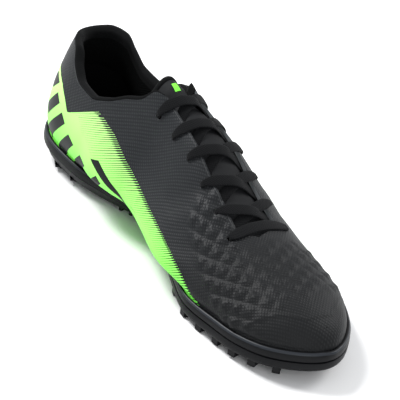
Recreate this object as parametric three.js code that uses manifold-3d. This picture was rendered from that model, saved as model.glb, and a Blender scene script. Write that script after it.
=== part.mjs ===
// A turf football boot for the left foot: a cupped rubber outsole with a green tread panel, a thin moulded
// upper, a padded tongue, an insole and a flat lace in criss-cross rows.
// Lengths are millimetres. X runs from the heel to the toe, Y towards the outer side, Z up, floor at Z = 0.
import * as THREE from "three";
import { mergeVertices } from "three/addons/utils/BufferGeometryUtils.js";
import Module from "manifold-3d";

const wasm = await Module();
wasm.setup();

// Driving sizes
const SOLE_LENGTH = 285;
const HEEL_WIDTH = 64;
const WAIST_WIDTH = 58;
const BALL_WIDTH = 100;
const HEEL_ROUND = 38; // length of the round heel end
const TOE_ROUND = 92; // length of the round toe end
const WAIST_SHIFT = 10.5; // how far the waist lies towards the outer side
const TOE_SHIFT = 6.2; // how far the toe tip lies towards the inner side
const INSTEP_HEIGHT = 84; // ridge of the instep at the top eyelets, above the sole's inner floor
const TOE_TOP_ROUND = 46; // length over which the toe box falls to its tip
const TOE_TOP_FULLNESS = 2.2; // 2 rounds the toe box like an ellipse, more is squarer
const COLLAR_HEIGHT = 73; // heel collar above the sole's inner floor
const HEEL_LEAN = 11; // forward lean of the heel's back line at the collar
const LEAN_END = 0.24; // share of the length where the lean has died out
const HEEL_BELLY = 0.26; // share of the collar's height where the back line stands furthest back
const ARCH_BULGE = 25; // how far the upper swells over the sole at the inner waist
const OUTER_BULGE = 1.5;
const BULGE_PEAK = 8; // degrees round the section from the sole's rim to the widest place of the bulge
const WALL = 2; // upper's wall
const LINING_THICKNESS = 3.2; // padded lining round the collar
const BINDING_HEIGHT = 3.6; // how far the lining's bound edge stands above the upper's edge
const LINING_DEPTH = 26; // down from the upper's edge
const CLEARANCE = 0.3; // between pieces that meet
const THROAT_WIDTH = 22; // between the facings at the top eyelets
const HEEL_FLOOR = 13.5; // sole's inner floor above the ground
const WAIST_FLOOR = 10;
const BALL_FLOOR = 8.3;
const TOE_FLOOR = 15.8;
const CUP_DEPTH = 6.5; // side wall above the inner floor
const CUP_WALL = 3; // side wall beyond the upper
const CUP_TURN = 0.5; // the rim follows the upper no further round than this share
const STEP_DEPTH = 1; // groove along the side wall
const GROOVE_HALF = 0.9; // half the groove's height
const RIM_ROUND = 1.5; // rounding of the rim's top edge
const FOOT_ROUND = 1.4; // rounding at the foot of the side wall
const FOOT_FLAT = 5; // from the side wall to where the underside is flat
const LUG_HEIGHT = 3.6;
const TOE_SPRING = 6.6;
const TOE_SPRING_START = 0.72;
const TOE_SPRING_CURVE = 1.8; // 1 is straight, more starts softer
const HEEL_BEVEL = 5; // rise of the underside at the heel end
const HEEL_BEVEL_LENGTH = 28;
const HEEL_UNDERCUT = 4.5; // how far the heel's side draws in towards the ground
const UNDERCUT_END = 0.64; // share of the length where that has died out
const UNDERCUT_FADE = 0.2;
const ARCH_RISE = 2;
const ARCH_START = 0.28;
const ARCH_END = 0.54;
const LUG_PITCH = 17;
const LUG_ROW_PITCH = 15.4;
const LUG_ROW_SHIFT = -7.6;
const LUG_ARM_LENGTH = 7;
const LUG_ARM_WIDTH = 4.2;
const LUG_EDGE_MARGIN = 10; // from a lug's centre to the outline
const LUG_END_MARGIN = 13; // from a lug's centre to the heel's or toe's end
const EDGE_BARS = 7; // bars along each side of the forefoot
const EDGE_BAR_START = 0.62;
const EDGE_BAR_END = 0.945;
const EDGE_BAR_LENGTH = 11;
const EDGE_BAR_WIDTH = 4.8;
const BAR_INSET = 1; // from the outline to a bar's or rib's outer end
const BAR_CROWDING = 0.85; // below 1 the bars lie closer together near the toe
const BAR_ROOT = 2.6; // how far bars and ribs reach up into the sole
const LUG_ROOT = 0.8;
const RIB_COUNT = 9; // ribs on each side of the waist
const RIB_START = 0.33;
const RIB_END = 0.55;
const RIB_LENGTH = 11;
const RIB_WIDTH = 2.4;
const RIB_HEIGHT = 2;
const PANEL_DEPTH = 2; // thickness of the green tread panel above the lugs
const INSOLE_THICKNESS = 4;
const TONGUE_THICKNESS = 4;
const TONGUE_ARC = 0.58; // share of the way round from ridge to sole that the tongue covers
const TONGUE_TOP = 0.308; // shares of the upper's length
const TONGUE_FOOT = 0.73;
const EYELET_ROWS = 6;
const EYELET_RADIUS = 2.1;
const EYELET_EDGE = 7; // from the throat's edge to the eyelets
const FIRST_EYELET = 0.383;
const LAST_EYELET = 0.692;
const LACE_WIDTH = 7;
const LACE_THICKNESS = 1.6;
const LACE_GAP = 0.8; // lace above the upper
const LACE_DIVE = 0.58; // where a lace dives under the other facing, as a share of the way to the next row

// Mesh fineness
const STATIONS = 32;
const SIDE_ROWS = 9;
const ROW_CROWDING = 1.25; // above 1 the rows lie closer together near the sole
const ROUND_SIDES = 8;

// The sole's outline. Width and drift of its middle line towards the outer side, at shares of the length.
const OUTLINE = [
  { at: 0.0, width: 0.945 * HEEL_WIDTH, drift: 0 },
  { at: 0.1, width: 0.96 * HEEL_WIDTH, drift: 0.06 * WAIST_SHIFT },
  { at: 0.2, width: 0.985 * HEEL_WIDTH, drift: 0.12 * WAIST_SHIFT },
  { at: 0.3, width: 0.94 * HEEL_WIDTH, drift: 0.6 * WAIST_SHIFT },
  { at: 0.4, width: WAIST_WIDTH, drift: 1.08 * WAIST_SHIFT },
  { at: 0.5, width: 0.7 * BALL_WIDTH, drift: 1.2 * WAIST_SHIFT },
  { at: 0.6, width: 0.895 * BALL_WIDTH, drift: 0.88 * WAIST_SHIFT },
  { at: 0.7, width: 0.98 * BALL_WIDTH, drift: 0.27 * WAIST_SHIFT },
  { at: 0.78, width: 0.99 * BALL_WIDTH, drift: 0.12 * WAIST_SHIFT },
  { at: 0.86, width: 1.01 * BALL_WIDTH, drift: -0.35 * TOE_SHIFT },
  { at: 0.92, width: BALL_WIDTH, drift: -0.78 * TOE_SHIFT },
  { at: 1.0, width: 0.87 * BALL_WIDTH, drift: -TOE_SHIFT },
];

// The upper's cross-sections. Ridge height above the floor, drift of the ridge, fullness of the arch (2 is an
// ellipse, more is squarer) and how much of the two side bulges apply.
const SECTIONS = [
  { at: 0.0, ridge: 1.33 * INSTEP_HEIGHT, drift: 0, full: 2.45, inner: 0.2, outer: 0.1 },
  { at: 0.12, ridge: 1.33 * INSTEP_HEIGHT, drift: 0, full: 2.2, inner: 0.2, outer: 0.2 },
  { at: 0.22, ridge: 1.29 * INSTEP_HEIGHT, drift: 0.1 * WAIST_SHIFT, full: 2.05, inner: 0.35, outer: 0.5 },
  { at: 0.3, ridge: 1.17 * INSTEP_HEIGHT, drift: 0.13 * WAIST_SHIFT, full: 2.1, inner: 0.76, outer: 0.85 },
  { at: 0.36, ridge: 1.06 * INSTEP_HEIGHT, drift: 0.15 * WAIST_SHIFT, full: 2.3, inner: 0.85, outer: 1 },
  { at: 0.4, ridge: 0.98 * INSTEP_HEIGHT, drift: 0.16 * WAIST_SHIFT, full: 2.4, inner: 0.79, outer: 1 },
  { at: 0.5, ridge: 0.865 * INSTEP_HEIGHT, drift: 0.14 * WAIST_SHIFT, full: 2.2, inner: 0.8, outer: 0.85 },
  { at: 0.6, ridge: 0.66 * INSTEP_HEIGHT, drift: 0, full: 1.95, inner: 0.56, outer: 0.45 },
  { at: 0.7, ridge: 0.485 * INSTEP_HEIGHT, drift: -0.25 * TOE_SHIFT, full: 2, inner: 0.12, outer: 0.25 },
  { at: 0.8, ridge: 0.4 * INSTEP_HEIGHT, drift: -0.5 * TOE_SHIFT, full: 2.1, inner: 0.08, outer: 0.2 },
  { at: 0.9, ridge: 0.345 * INSTEP_HEIGHT, drift: -0.65 * TOE_SHIFT, full: 2.2, inner: 0.08, outer: 0.2 },
  { at: 1.0, ridge: 0.3 * INSTEP_HEIGHT, drift: -0.76 * TOE_SHIFT, full: 2.3, inner: 0.08, outer: 0.2 },
];

// The sole's inner floor above the ground.
const FLOOR = [
  { at: 0.0, height: HEEL_FLOOR },
  { at: 0.2, height: 0.88 * HEEL_FLOOR },
  { at: 0.42, height: WAIST_FLOOR },
  { at: 0.68, height: BALL_FLOOR },
  { at: 0.8, height: 0.81 * BALL_FLOOR + 0.19 * TOE_FLOOR },
  { at: 1.0, height: TOE_FLOOR },
];

// The collar's edge from the heel's back to the facings: height above the floor.
const COLLAR = [
  { at: 0.0, rise: COLLAR_HEIGHT },
  { at: 0.03, rise: 1.02 * COLLAR_HEIGHT },
  { at: 0.075, rise: 0.99 * COLLAR_HEIGHT },
  { at: 0.11, rise: 0.87 * COLLAR_HEIGHT },
  { at: 0.15, rise: 0.77 * COLLAR_HEIGHT },
  { at: 0.2, rise: 0.75 * COLLAR_HEIGHT },
  { at: 0.25, rise: 0.82 * COLLAR_HEIGHT },
  { at: 0.29, rise: 0.92 * COLLAR_HEIGHT },
  { at: 0.33, rise: COLLAR_HEIGHT },
];

// The throat's edges: distances from the ridge. The throat lies more to the outer side towards its foot.
const THROAT = [
  { at: 0.37, inner: 0.445 * THROAT_WIDTH, outer: 0.48 * THROAT_WIDTH },
  { at: 0.42, inner: 0.465 * THROAT_WIDTH, outer: 0.57 * THROAT_WIDTH },
  { at: 0.52, inner: 0.51 * THROAT_WIDTH, outer: 0.68 * THROAT_WIDTH },
  { at: 0.62, inner: 0.48 * THROAT_WIDTH, outer: 0.77 * THROAT_WIDTH },
  { at: 0.69, inner: 0.455 * THROAT_WIDTH, outer: 0.88 * THROAT_WIDTH },
  { at: 0.715, inner: 0, outer: 0 },
];
const THROAT_START = THROAT[0].at;

// The green tread panel under the sole: its inner and outer bounds as shares of the half width.
const PANEL = [
  { at: 0.06, inner: -0.25, outer: 0.2 },
  { at: 0.09, inner: -0.55, outer: 0.45 },
  { at: 0.15, inner: -0.6, outer: 0.6 },
  { at: 0.235, inner: -0.52, outer: 0.58 },
  { at: 0.294, inner: -0.46, outer: 0.5 },
  { at: 0.33, inner: -0.42, outer: 0.3 },
  { at: 0.395, inner: -0.3, outer: 0.27 },
  { at: 0.451, inner: -0.26, outer: 0.53 },
  { at: 0.507, inner: -0.31, outer: 0.69 },
  { at: 0.566, inner: -0.44, outer: 0.79 },
  { at: 0.604, inner: -0.52, outer: 0.82 },
  { at: 0.648, inner: -0.62, outer: 0.76 },
  { at: 0.69, inner: -0.6, outer: 0.55 },
  { at: 0.725, inner: -0.55, outer: 0.1 },
  { at: 0.756, inner: -0.39, outer: 0.09 },
  { at: 0.794, inner: -0.16, outer: 0.19 },
  { at: 0.827, inner: -0.02, outer: 0.21 },
  { at: 0.87, inner: -0.08, outer: 0.22 },
];

const degrees = (angle) => (angle * Math.PI) / 180;

// A smooth curve through a table's rows that never overshoots them.
function curve(rows, at, column) {
  const last = rows.length - 1;
  if (at <= rows[0].at) return rows[0][column];
  if (at >= rows[last].at) return rows[last][column];
  const slope = (i) => (rows[i + 1][column] - rows[i][column]) / (rows[i + 1].at - rows[i].at);
  const tangent = (i) => {
    if (i === 0) return slope(0);
    if (i === last) return slope(last - 1);
    const [before, after] = [slope(i - 1), slope(i)];
    return before * after <= 0 ? 0 : (2 * before * after) / (before + after);
  };
  const i = rows.findIndex((row) => row.at > at) - 1;
  const span = rows[i + 1].at - rows[i].at;
  const t = (at - rows[i].at) / span;
  const [t2, t3] = [t * t, t * t * t];
  return (
    rows[i][column] * (2 * t3 - 3 * t2 + 1) +
    tangent(i) * span * (t3 - 2 * t2 + t) +
    rows[i + 1][column] * (3 * t2 - 2 * t3) +
    tangent(i + 1) * span * (t3 - t2)
  );
}

// Half the outline's width inside the upper, less an inset, with the round heel and toe.
function halfWidth(at, inset) {
  const heel = Math.max(0, 1 - (at * SOLE_LENGTH) / HEEL_ROUND);
  const toe = Math.max(0, 1 - ((1 - at) * SOLE_LENGTH) / TOE_ROUND);
  const ends = Math.sqrt((1 - heel ** 2) * (1 - toe ** 2));
  return (curve(OUTLINE, at, "width") / 2 - CUP_WALL - inset) * ends;
}

const floorHeight = (at) => curve(FLOOR, at, "height");
const soleX = (at, inset) => CUP_WALL + inset + at * (SOLE_LENGTH - 2 * (CUP_WALL + inset));

// The height factor that rounds the toe box down to its tip.
function toeFall(at) {
  const toe = Math.max(0, 1 - ((1 - at) * SOLE_LENGTH) / TOE_TOP_ROUND);
  return (1 - toe ** TOE_TOP_FULLNESS) ** (1 / TOE_TOP_FULLNESS);
}

// A point on the upper's surface, moved in by an inset. around is -1 at the inner side's foot, 0 on the ridge
// and 1 at the outer side's foot.
function lastPoint(at, around, inset) {
  const lift = degrees(90) * (1 - Math.abs(around));
  const side = Math.sign(around);
  const full = curve(SECTIONS, at, "full");
  const above = Math.max(0, lift - degrees(90) * (1 - rimAround(at))) / degrees(BULGE_PEAK);
  const swell = above * Math.exp(1 - above) * Math.cos(lift);
  const size = side < 0 ? ARCH_BULGE : OUTER_BULGE;
  const bulge = swell * size * curve(SECTIONS, at, sideColumn(side));
  const half = halfWidth(at, inset);
  const ends = half / (curve(OUTLINE, at, "width") / 2 - CUP_WALL - inset);
  const middle = curve(OUTLINE, at, "drift");
  const ridge = curve(SECTIONS, at, "drift");
  const rise = (curve(SECTIONS, at, "ridge") - inset) * toeFall(at) * Math.sin(lift) ** (2 / full);
  const fade = Math.max(0, 1 - at / LEAN_END) ** 2;
  const belly = HEEL_BELLY * COLLAR_HEIGHT;
  const lean = HEEL_LEAN * ((rise - belly) / (COLLAR_HEIGHT - belly)) ** 2 * fade;
  const reach = half * Math.cos(lift) ** (2 / full) + bulge * ends;
  return new THREE.Vector3(
    soleX(at, inset) + lean,
    middle + (ridge - middle) * Math.sin(lift) + side * reach,
    floorHeight(at) + CLEARANCE + rise,
  );
}

// How far round the surface a height above the floor lies.
function aroundAtRise(at, rise) {
  const full = curve(SECTIONS, at, "full");
  const share = Math.min(1, rise / (curve(SECTIONS, at, "ridge") * Math.max(toeFall(at), 1e-6)));
  return 1 - Math.asin(share ** (full / 2)) / degrees(90);
}

// How far round the surface it leaves the sole's cup.
const rimAround = (at) => aroundAtRise(at, CUP_DEPTH + 1);

// How far round the surface a distance from the ridge lies.
function aroundAtHalf(at, half) {
  const full = curve(SECTIONS, at, "full");
  return 1 - Math.acos((half / halfWidth(at, 0)) ** (full / 2)) / degrees(90);
}

const sideColumn = (side) => (side < 0 ? "inner" : "outer");
const collarEdge = ({ at, rise }) => ({ at, inner: aroundAtRise(at, rise), outer: aroundAtRise(at, rise) });
const throatEdge = ({ at, inner, outer }) => ({ at, inner: aroundAtHalf(at, inner), outer: aroundAtHalf(at, outer) });
const EDGE = [...COLLAR.map(collarEdge), ...THROAT.map(throatEdge)];
const edgeAround = (at, side) => curve(EDGE, at, sideColumn(side));

// Builds a closed solid from a list of points and triangles.
function solidFrom(points, triangles) {
  const geometry = new THREE.BufferGeometry().setFromPoints(points);
  geometry.setIndex(triangles.flat());
  const merged = mergeVertices(geometry, 1e-4);
  const indices = merged.index.array;
  const faces = new Map();
  for (let i = 0; i < indices.length; i += 3) {
    const face = [indices[i], indices[i + 1], indices[i + 2]];
    if (new Set(face).size < 3) continue;
    // Two halves of a piece that meet leave the same face from both sides, and both go.
    const key = [...face].sort((a, b) => a - b).join();
    if (!faces.delete(key)) faces.set(key, face);
  }
  const mesh = new wasm.Mesh({
    numProp: 3,
    vertProperties: merged.attributes.position.array,
    triVerts: new Uint32Array([...faces.values()].flat()),
  });
  return new wasm.Manifold(mesh);
}

// Joins rows of points, each row as long as the others, into one skin. Closed rows run round in a loop.
function skin(points, triangles, rows, closed) {
  const first = points.length;
  const count = rows[0].length;
  rows.forEach((row) => points.push(...row));
  const across = closed ? count : count - 1;
  for (let r = 0; r + 1 < rows.length; r++) {
    for (let i = 0; i < across; i++) {
      const [a, b] = [first + r * count + i, first + r * count + ((i + 1) % count)];
      triangles.push([a, b, b + count], [a, b + count, a + count]);
    }
  }
}

// The closed skin between an outer and an inner sheet, each a list of rows, added to points and triangles.
function plateSkin(points, triangles, outer, inner) {
  const first = points.length;
  const rows = outer.map((row, r) => [...row, ...[...inner[r]].reverse()]);
  skin(points, triangles, rows, true);
  const count = rows[0].length;
  const cap = (base, flip) => {
    for (let i = 0; i + 1 < count / 2; i++) {
      const [a, b, c, d] = [base + i, base + i + 1, base + count - 2 - i, base + count - 1 - i];
      triangles.push(...(flip ? [[a, b, c], [a, c, d]] : [[a, c, b], [a, d, c]]));
    }
  };
  cap(first, false);
  cap(first + (rows.length - 1) * count, true);
}

// A solid between an outer and an inner sheet, whichever way round they lie.
function plateSolid(outer, inner) {
  const points = [];
  const triangles = [];
  plateSkin(points, triangles, outer, inner);
  const solid = solidFrom(points, triangles);
  return solid.volume() < 0 ? solidFrom(points, triangles.map(([a, b, c]) => [a, c, b])) : solid;
}

const range = (count, pick) => Array.from({ length: count }, (_, i) => pick(i / (count - 1)));

// Shares of the length, closer together at the round ends.
const stations = range(STATIONS + 1, (t) => (1 - Math.cos(Math.PI * t)) / 2);

// A loop round the sole, at an inset and height worked out from the station and from the share of the length
// where it lies. Above the floor it follows the upper's own surface.
function loop(insetAt, height) {
  const point = (at, side) => {
    const inset = typeof insetAt === "number" ? insetAt : insetAt(at);
    const z = height(at, soleX(at, inset) / SOLE_LENGTH);
    const rise = z - floorHeight(at) - CLEARANCE;
    const around = rise > 0 ? Math.max(CUP_TURN, aroundAtRise(at, rise)) : 1;
    const p = lastPoint(at, side * around, inset);
    p.z = z;
    return p;
  };
  const inner = stations.map((at) => point(at, -1));
  const outer = stations.slice(1, -1).map((at) => point(at, 1));
  return [...inner, ...outer.reverse()];
}

// A solid from loops stacked from the bottom's edge up; its first and last loops are filled across.
function loopSolid(loops) {
  const points = [];
  const triangles = [];
  skin(points, triangles, loops, true);
  const count = loops[0].length;
  const fill = (base, flip) => {
    for (let i = 0; i < STATIONS; i++) {
      const quad = [i, i + 1, count - i - 1, (count - i) % count].map((k) => base + k);
      const [a, b, c, d] = quad;
      triangles.push(...(flip ? [[a, c, b], [a, d, c]] : [[a, b, c], [a, c, d]]));
    }
  };
  fill(0, true);
  fill((loops.length - 1) * count, false);
  return solidFrom(points, triangles);
}

// The plate's underside above the ground, without lugs.
function plateBottom(at) {
  const toe = Math.max(0, at - TOE_SPRING_START) / (1 - TOE_SPRING_START);
  const heel = Math.max(0, 1 - (at * SOLE_LENGTH) / HEEL_BEVEL_LENGTH);
  const along = THREE.MathUtils.clamp((at - ARCH_START) / (ARCH_END - ARCH_START), 0, 1);
  const arch = Math.sin(Math.PI * along) ** 2;
  return LUG_HEIGHT + TOE_SPRING * toe ** TOE_SPRING_CURVE + HEEL_BEVEL * heel ** 2 + ARCH_RISE * arch;
}

// How far the side draws in towards the ground: at the heel, fading out in the waist.
const sideUndercut = (at) => HEEL_UNDERCUT * THREE.MathUtils.clamp((UNDERCUT_END - at) / UNDERCUT_FADE, 0, 1);

// The cupped outsole without its tread.
function cupSolid() {
  const rim = (at) => floorHeight(at) + CUP_DEPTH;
  const middle = (at) => 0.45 * plateBottom(at) + 0.55 * rim(at);
  const under = (rise) => (at, share) => plateBottom(share) + rise;
  const drawnIn = (inset, share) => (at) => inset - CUP_WALL + share * sideUndercut(at);
  const loops = [
    loop(drawnIn(FOOT_FLAT, 1), under(0)),
    loop(drawnIn(FOOT_ROUND, 1), under(0.6 * FOOT_ROUND)),
    loop(drawnIn(0, 0.8), under(2 * FOOT_ROUND)),
    loop(drawnIn(0, 0.3), (at) => middle(at) - GROOVE_HALF),
    loop(-CUP_WALL + STEP_DEPTH, middle),
    loop(-CUP_WALL + 0.3 * STEP_DEPTH, (at) => middle(at) + GROOVE_HALF),
    loop(-CUP_WALL + 0.6 * STEP_DEPTH, (at) => rim(at) - RIM_ROUND),
    loop(-CUP_WALL + RIM_ROUND, rim),
    loop(-CLEARANCE, rim),
    loop(-CLEARANCE, (at) => floorHeight(at) + 0.5 * CUP_DEPTH),
    loop(-CLEARANCE, floorHeight),
  ];
  return loopSolid(loops);
}

const shareOfX = (x) => x / SOLE_LENGTH;

// An upright prism of a plan outline that follows the underside, from a depth below the plate to one above.
function treadPrism(outline, below, above) {
  const shape = outline.map(([x, y]) => new THREE.Vector2(x, y));
  if (THREE.ShapeUtils.isClockWise(shape)) shape.reverse();
  const count = shape.length;
  const height = (x) => plateBottom(shareOfX(x));
  const level = (offset) => shape.map((p) => new THREE.Vector3(p.x, p.y, height(p.x) + offset));
  const points = [...level(-below), ...level(above)];
  const triangles = [];
  for (const [a, b, c] of THREE.ShapeUtils.triangulateShape(shape, [])) {
    triangles.push([a, c, b], [a + count, b + count, c + count]);
  }
  for (let i = 0; i < count; i++) {
    const j = (i + 1) % count;
    triangles.push([i, j, j + count], [i, j + count, i + count]);
  }
  return solidFrom(points, triangles);
}

// A three-armed star with square arms, one arm towards the toe.
function starOutline(x, y) {
  const outline = [];
  const inner = LUG_ARM_WIDTH / 2 / Math.sin(degrees(60));
  for (let arm = 0; arm < 3; arm++) {
    const turn = degrees(120 * arm);
    const along = new THREE.Vector2(Math.cos(turn), Math.sin(turn));
    const beside = new THREE.Vector2(-along.y, along.x);
    const notch = turn - degrees(60);
    outline.push([x + inner * Math.cos(notch), y + inner * Math.sin(notch)]);
    for (const side of [-1, 1]) {
      const end = along.clone().multiplyScalar(LUG_ARM_LENGTH);
      end.addScaledVector(beside, (side * LUG_ARM_WIDTH) / 2);
      outline.push([x + end.x, y + end.y]);
    }
  }
  return outline;
}

const soleHalf = (at) => halfWidth(at, -CUP_WALL) - sideUndercut(at);
const soleMiddle = (at) => curve(OUTLINE, at, "drift");

// Centres of the star lugs: a slanting grid, where the sole is wide enough.
function lugCentres() {
  const centres = [];
  const rows = Math.ceil(BALL_WIDTH / LUG_ROW_PITCH / 2) + 1;
  for (let row = -rows; row <= rows; row++) {
    const shift = row * LUG_ROW_SHIFT;
    const first = 0.75 * LUG_PITCH + THREE.MathUtils.euclideanModulo(shift, LUG_PITCH);
    for (let x = first; x < SOLE_LENGTH; x += LUG_PITCH) {
      const y = row * LUG_ROW_PITCH;
      const at = shareOfX(x);
      const room = soleHalf(at) - Math.abs(y - soleMiddle(at));
      const ends = Math.min(x, SOLE_LENGTH - x);
      const margin = LUG_EDGE_MARGIN + (at > EDGE_BAR_START ? EDGE_BAR_LENGTH - BAR_INSET : 0);
      if (room > margin && ends > LUG_END_MARGIN) centres.push([x, y]);
    }
  }
  return centres;
}

// A straight bar across the sole's edge, as a plan outline, pointing to the middle line.
function barOutline(at, side, length, width, start) {
  const step = 0.01;
  const edge = (share) => new THREE.Vector2(share * SOLE_LENGTH, soleMiddle(share) + side * soleHalf(share));
  const place = edge(at);
  const along = edge(at + step).sub(edge(at - step)).normalize();
  const inward = new THREE.Vector2(side * along.y, -side * along.x);
  const corner = (across, deep) => {
    const p = place.clone().addScaledVector(along, across).addScaledVector(inward, deep);
    return [p.x, p.y];
  };
  const half = width / 2;
  return [
    corner(-half, start),
    corner(half, start),
    corner(half, length),
    corner(-half, length),
  ];
}

// All raised tread: stars, edge bars and the waist's ribs.
function treadSolid() {
  const bar = (at, side, length, width) => barOutline(at, side, length, width, BAR_INSET);
  const pieces = lugCentres().map(([x, y]) => treadPrism(starOutline(x, y), LUG_HEIGHT, LUG_ROOT));
  for (const side of [-1, 1]) {
    for (let i = 0; i < EDGE_BARS; i++) {
      const at = EDGE_BAR_START + (EDGE_BAR_END - EDGE_BAR_START) * (i / (EDGE_BARS - 1)) ** BAR_CROWDING;
      pieces.push(treadPrism(bar(at, side, EDGE_BAR_LENGTH, EDGE_BAR_WIDTH), LUG_HEIGHT, BAR_ROOT));
    }
    for (let i = 0; i < RIB_COUNT; i++) {
      const at = RIB_START + ((RIB_END - RIB_START) * i) / (RIB_COUNT - 1);
      pieces.push(treadPrism(bar(at, side, RIB_LENGTH, RIB_WIDTH), RIB_HEIGHT, BAR_ROOT));
    }
  }
  return wasm.Manifold.union(pieces);
}

// The green panel's prism, grown by a margin.
function panelPrism(margin) {
  const side = (column, sign) =>
    PANEL.map((row, i) => {
      const end = i === 0 ? -margin : i === PANEL.length - 1 ? margin : 0;
      return [
        row.at * SOLE_LENGTH + end,
        soleMiddle(row.at) + row[column] * soleHalf(row.at) + sign * margin,
      ];
    });
  const outline = [...side("inner", -1), ...side("outer", 1).reverse()];
  const count = outline.length;
  const height = (x) => plateBottom(shareOfX(x));
  const level = (offset) => outline.map(([x, y]) => new THREE.Vector3(x, y, height(x) + offset));
  const points = [...level(-LUG_HEIGHT - 1), ...level(PANEL_DEPTH + margin)];
  const triangles = [];
  for (let i = 0; i + 1 < count / 2; i++) {
    const [a, b, c, d] = [i, i + 1, count - 2 - i, count - 1 - i];
    triangles.push([a, c, b], [a, d, c]);
    triangles.push([a + count, b + count, c + count], [a + count, c + count, d + count]);
  }
  for (let i = 0; i < count; i++) {
    const j = (i + 1) % count;
    triangles.push([i, j, j + count], [i, j + count, i + count]);
  }
  return solidFrom(points, triangles);
}

const FULL = { start: 0, end: 1 };

// Shares of the length between two ends, close together at the round heel and toe.
const stationsBetween = ({ start, end }) => {
  const within = stations.filter((at) => at > start && at < end);
  return [start, ...within, end];
};

// A piece of the wall on both sides of the middle, between an outer and an inner sheet. outside and inside
// give the points of one side's row at a station, from the sole upwards.
function wallSolid(places, outside, inside) {
  const points = [];
  const triangles = [];
  for (const side of [-1, 1]) {
    const first = triangles.length;
    const [outer, inner] = [outside, inside].map((row) => places.map((at) => row(at, side)));
    plateSkin(points, triangles, outer, inner);
    if (side < 0) triangles.slice(first).forEach((triangle) => triangle.reverse());
  }
  return solidFrom(points, triangles);
}

// An eyelet's place on one side: share of the length and share of the way round.
function eyeletPlace(row, side) {
  const at = FIRST_EYELET + ((LAST_EYELET - FIRST_EYELET) * row) / (EYELET_ROWS - 1);
  return { at, around: side * aroundAtHalf(at, curve(THROAT, at, sideColumn(side)) + EYELET_EDGE) };
}

// The direction straight out of the upper's surface.
function normalAt(at, around) {
  const step = 0.004;
  const along = lastPoint(at + step, around, 0).sub(lastPoint(at - step, around, 0));
  const across = lastPoint(at, around + step, 0).sub(lastPoint(at, around - step, 0));
  return along.cross(across).normalize();
}

// A solid from a three.js geometry.
function solidOfGeometry(geometry) {
  geometry.deleteAttribute("normal");
  geometry.deleteAttribute("uv");
  const merged = mergeVertices(geometry, 1e-4);
  const points = [];
  const position = merged.attributes.position;
  for (let i = 0; i < position.count; i++) {
    points.push(new THREE.Vector3().fromBufferAttribute(position, i));
  }
  const triangles = [];
  for (let i = 0; i < merged.index.count; i += 3) {
    triangles.push([0, 1, 2].map((k) => merged.index.getX(i + k)));
  }
  return solidFrom(points, triangles);
}

// The upper: one wall from the sole to the collar, throat and closed vamp, with its eyelets.
function upperSolid() {
  const sheet = (inset) => (at, side) => {
    const edge = edgeAround(at, side);
    const rim = Math.max(edge, rimAround(at));
    const rows = [1, ...range(SIDE_ROWS, (t) => rim - (rim - edge) * t ** ROW_CROWDING)];
    return rows.map((around) => lastPoint(at, side * (around || 1e-9), inset));
  };
  const places = [...stationsBetween(FULL), THROAT_START].sort((a, b) => a - b);
  const wall = wallSolid(places, sheet(0), sheet(WALL));
  const up = new THREE.Vector3(0, 1, 0);
  const holes = [];
  for (let row = 0; row < EYELET_ROWS; row++) {
    for (const side of [-1, 1]) {
      const { at, around } = eyeletPlace(row, side);
      const hole = new THREE.CylinderGeometry(EYELET_RADIUS, EYELET_RADIUS, 4 * WALL, ROUND_SIDES);
      const place = lastPoint(at, around, WALL / 2);
      const turn = new THREE.Quaternion().setFromUnitVectors(up, normalAt(at, around));
      hole.applyMatrix4(new THREE.Matrix4().compose(place, turn, new THREE.Vector3(1, 1, 1)));
      holes.push(solidOfGeometry(hole));
    }
  }
  return wall.subtract(wasm.Manifold.union(holes));
}

// The padded collar lining: a pad inside the upper, whose bound edge stands above the upper's edge.
function liningSolid() {
  const places = stationsBetween({ start: 0, end: THROAT_START });
  const reach = (at, side) => {
    const p = lastPoint(at, side * edgeAround(at, side), 0);
    return p.z - floorHeight(at) - CLEARANCE;
  };
  const place = (at, side, down, inset) => {
    const around = aroundAtRise(at, reach(at, side) - down);
    return lastPoint(at, side * around, inset);
  };
  const [under, back] = [WALL + 3 * CLEARANCE, WALL + 3 * CLEARANCE + LINING_THICKNESS];
  const outside = (at, side) => [
    place(at, side, LINING_DEPTH, under),
    place(at, side, LINING_DEPTH / 2, under),
    place(at, side, -CLEARANCE, under),
    place(at, side, -CLEARANCE, 0.2 * WALL),
    place(at, side, -0.6 * BINDING_HEIGHT, 0),
    place(at, side, -BINDING_HEIGHT, 0.3 * back),
  ];
  const inside = (at, side) => [
    place(at, side, LINING_DEPTH, under + 1),
    place(at, side, LINING_DEPTH / 2, back),
    place(at, side, 0.25 * LINING_DEPTH, back),
    place(at, side, -CLEARANCE, back),
    place(at, side, -0.8 * BINDING_HEIGHT, 0.85 * back),
    place(at, side, -BINDING_HEIGHT, 0.6 * back),
  ];
  return wallSolid(places, outside, inside);
}

// The insole, lying on the sole's inner floor inside the upper.
function insoleSolid() {
  const inset = WALL + 4 * CLEARANCE;
  return loopSolid([
    loop(inset, (at) => floorHeight(at) + CLEARANCE),
    loop(inset, (at) => floorHeight(at) + CLEARANCE + INSOLE_THICKNESS),
  ]);
}

// How far the tongue lies inside the upper's surface: past the lining at the collar.
function tongueInset(at) {
  const lined = 1 - THREE.MathUtils.smoothstep(at, THROAT_START, THROAT_START + 0.07);
  return WALL + 3 * CLEARANCE + (LINING_THICKNESS + 5 * CLEARANCE) * lined;
}

function tongueSolid() {
  const places = range(15, (t) => TONGUE_TOP + (TONGUE_FOOT - TONGUE_TOP) * t);
  const arc = (at) => TONGUE_ARC * (0.8 + 0.2 * THREE.MathUtils.smoothstep(at, TONGUE_TOP, 0.45));
  const row = (at, inset) => range(11, (t) => lastPoint(at, arc(at) * (2 * t - 1) || 1e-9, inset));
  const sheet = (extra) => places.map((at) => row(at, tongueInset(at) + extra));
  return plateSolid(sheet(0), sheet(TONGUE_THICKNESS));
}

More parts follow.
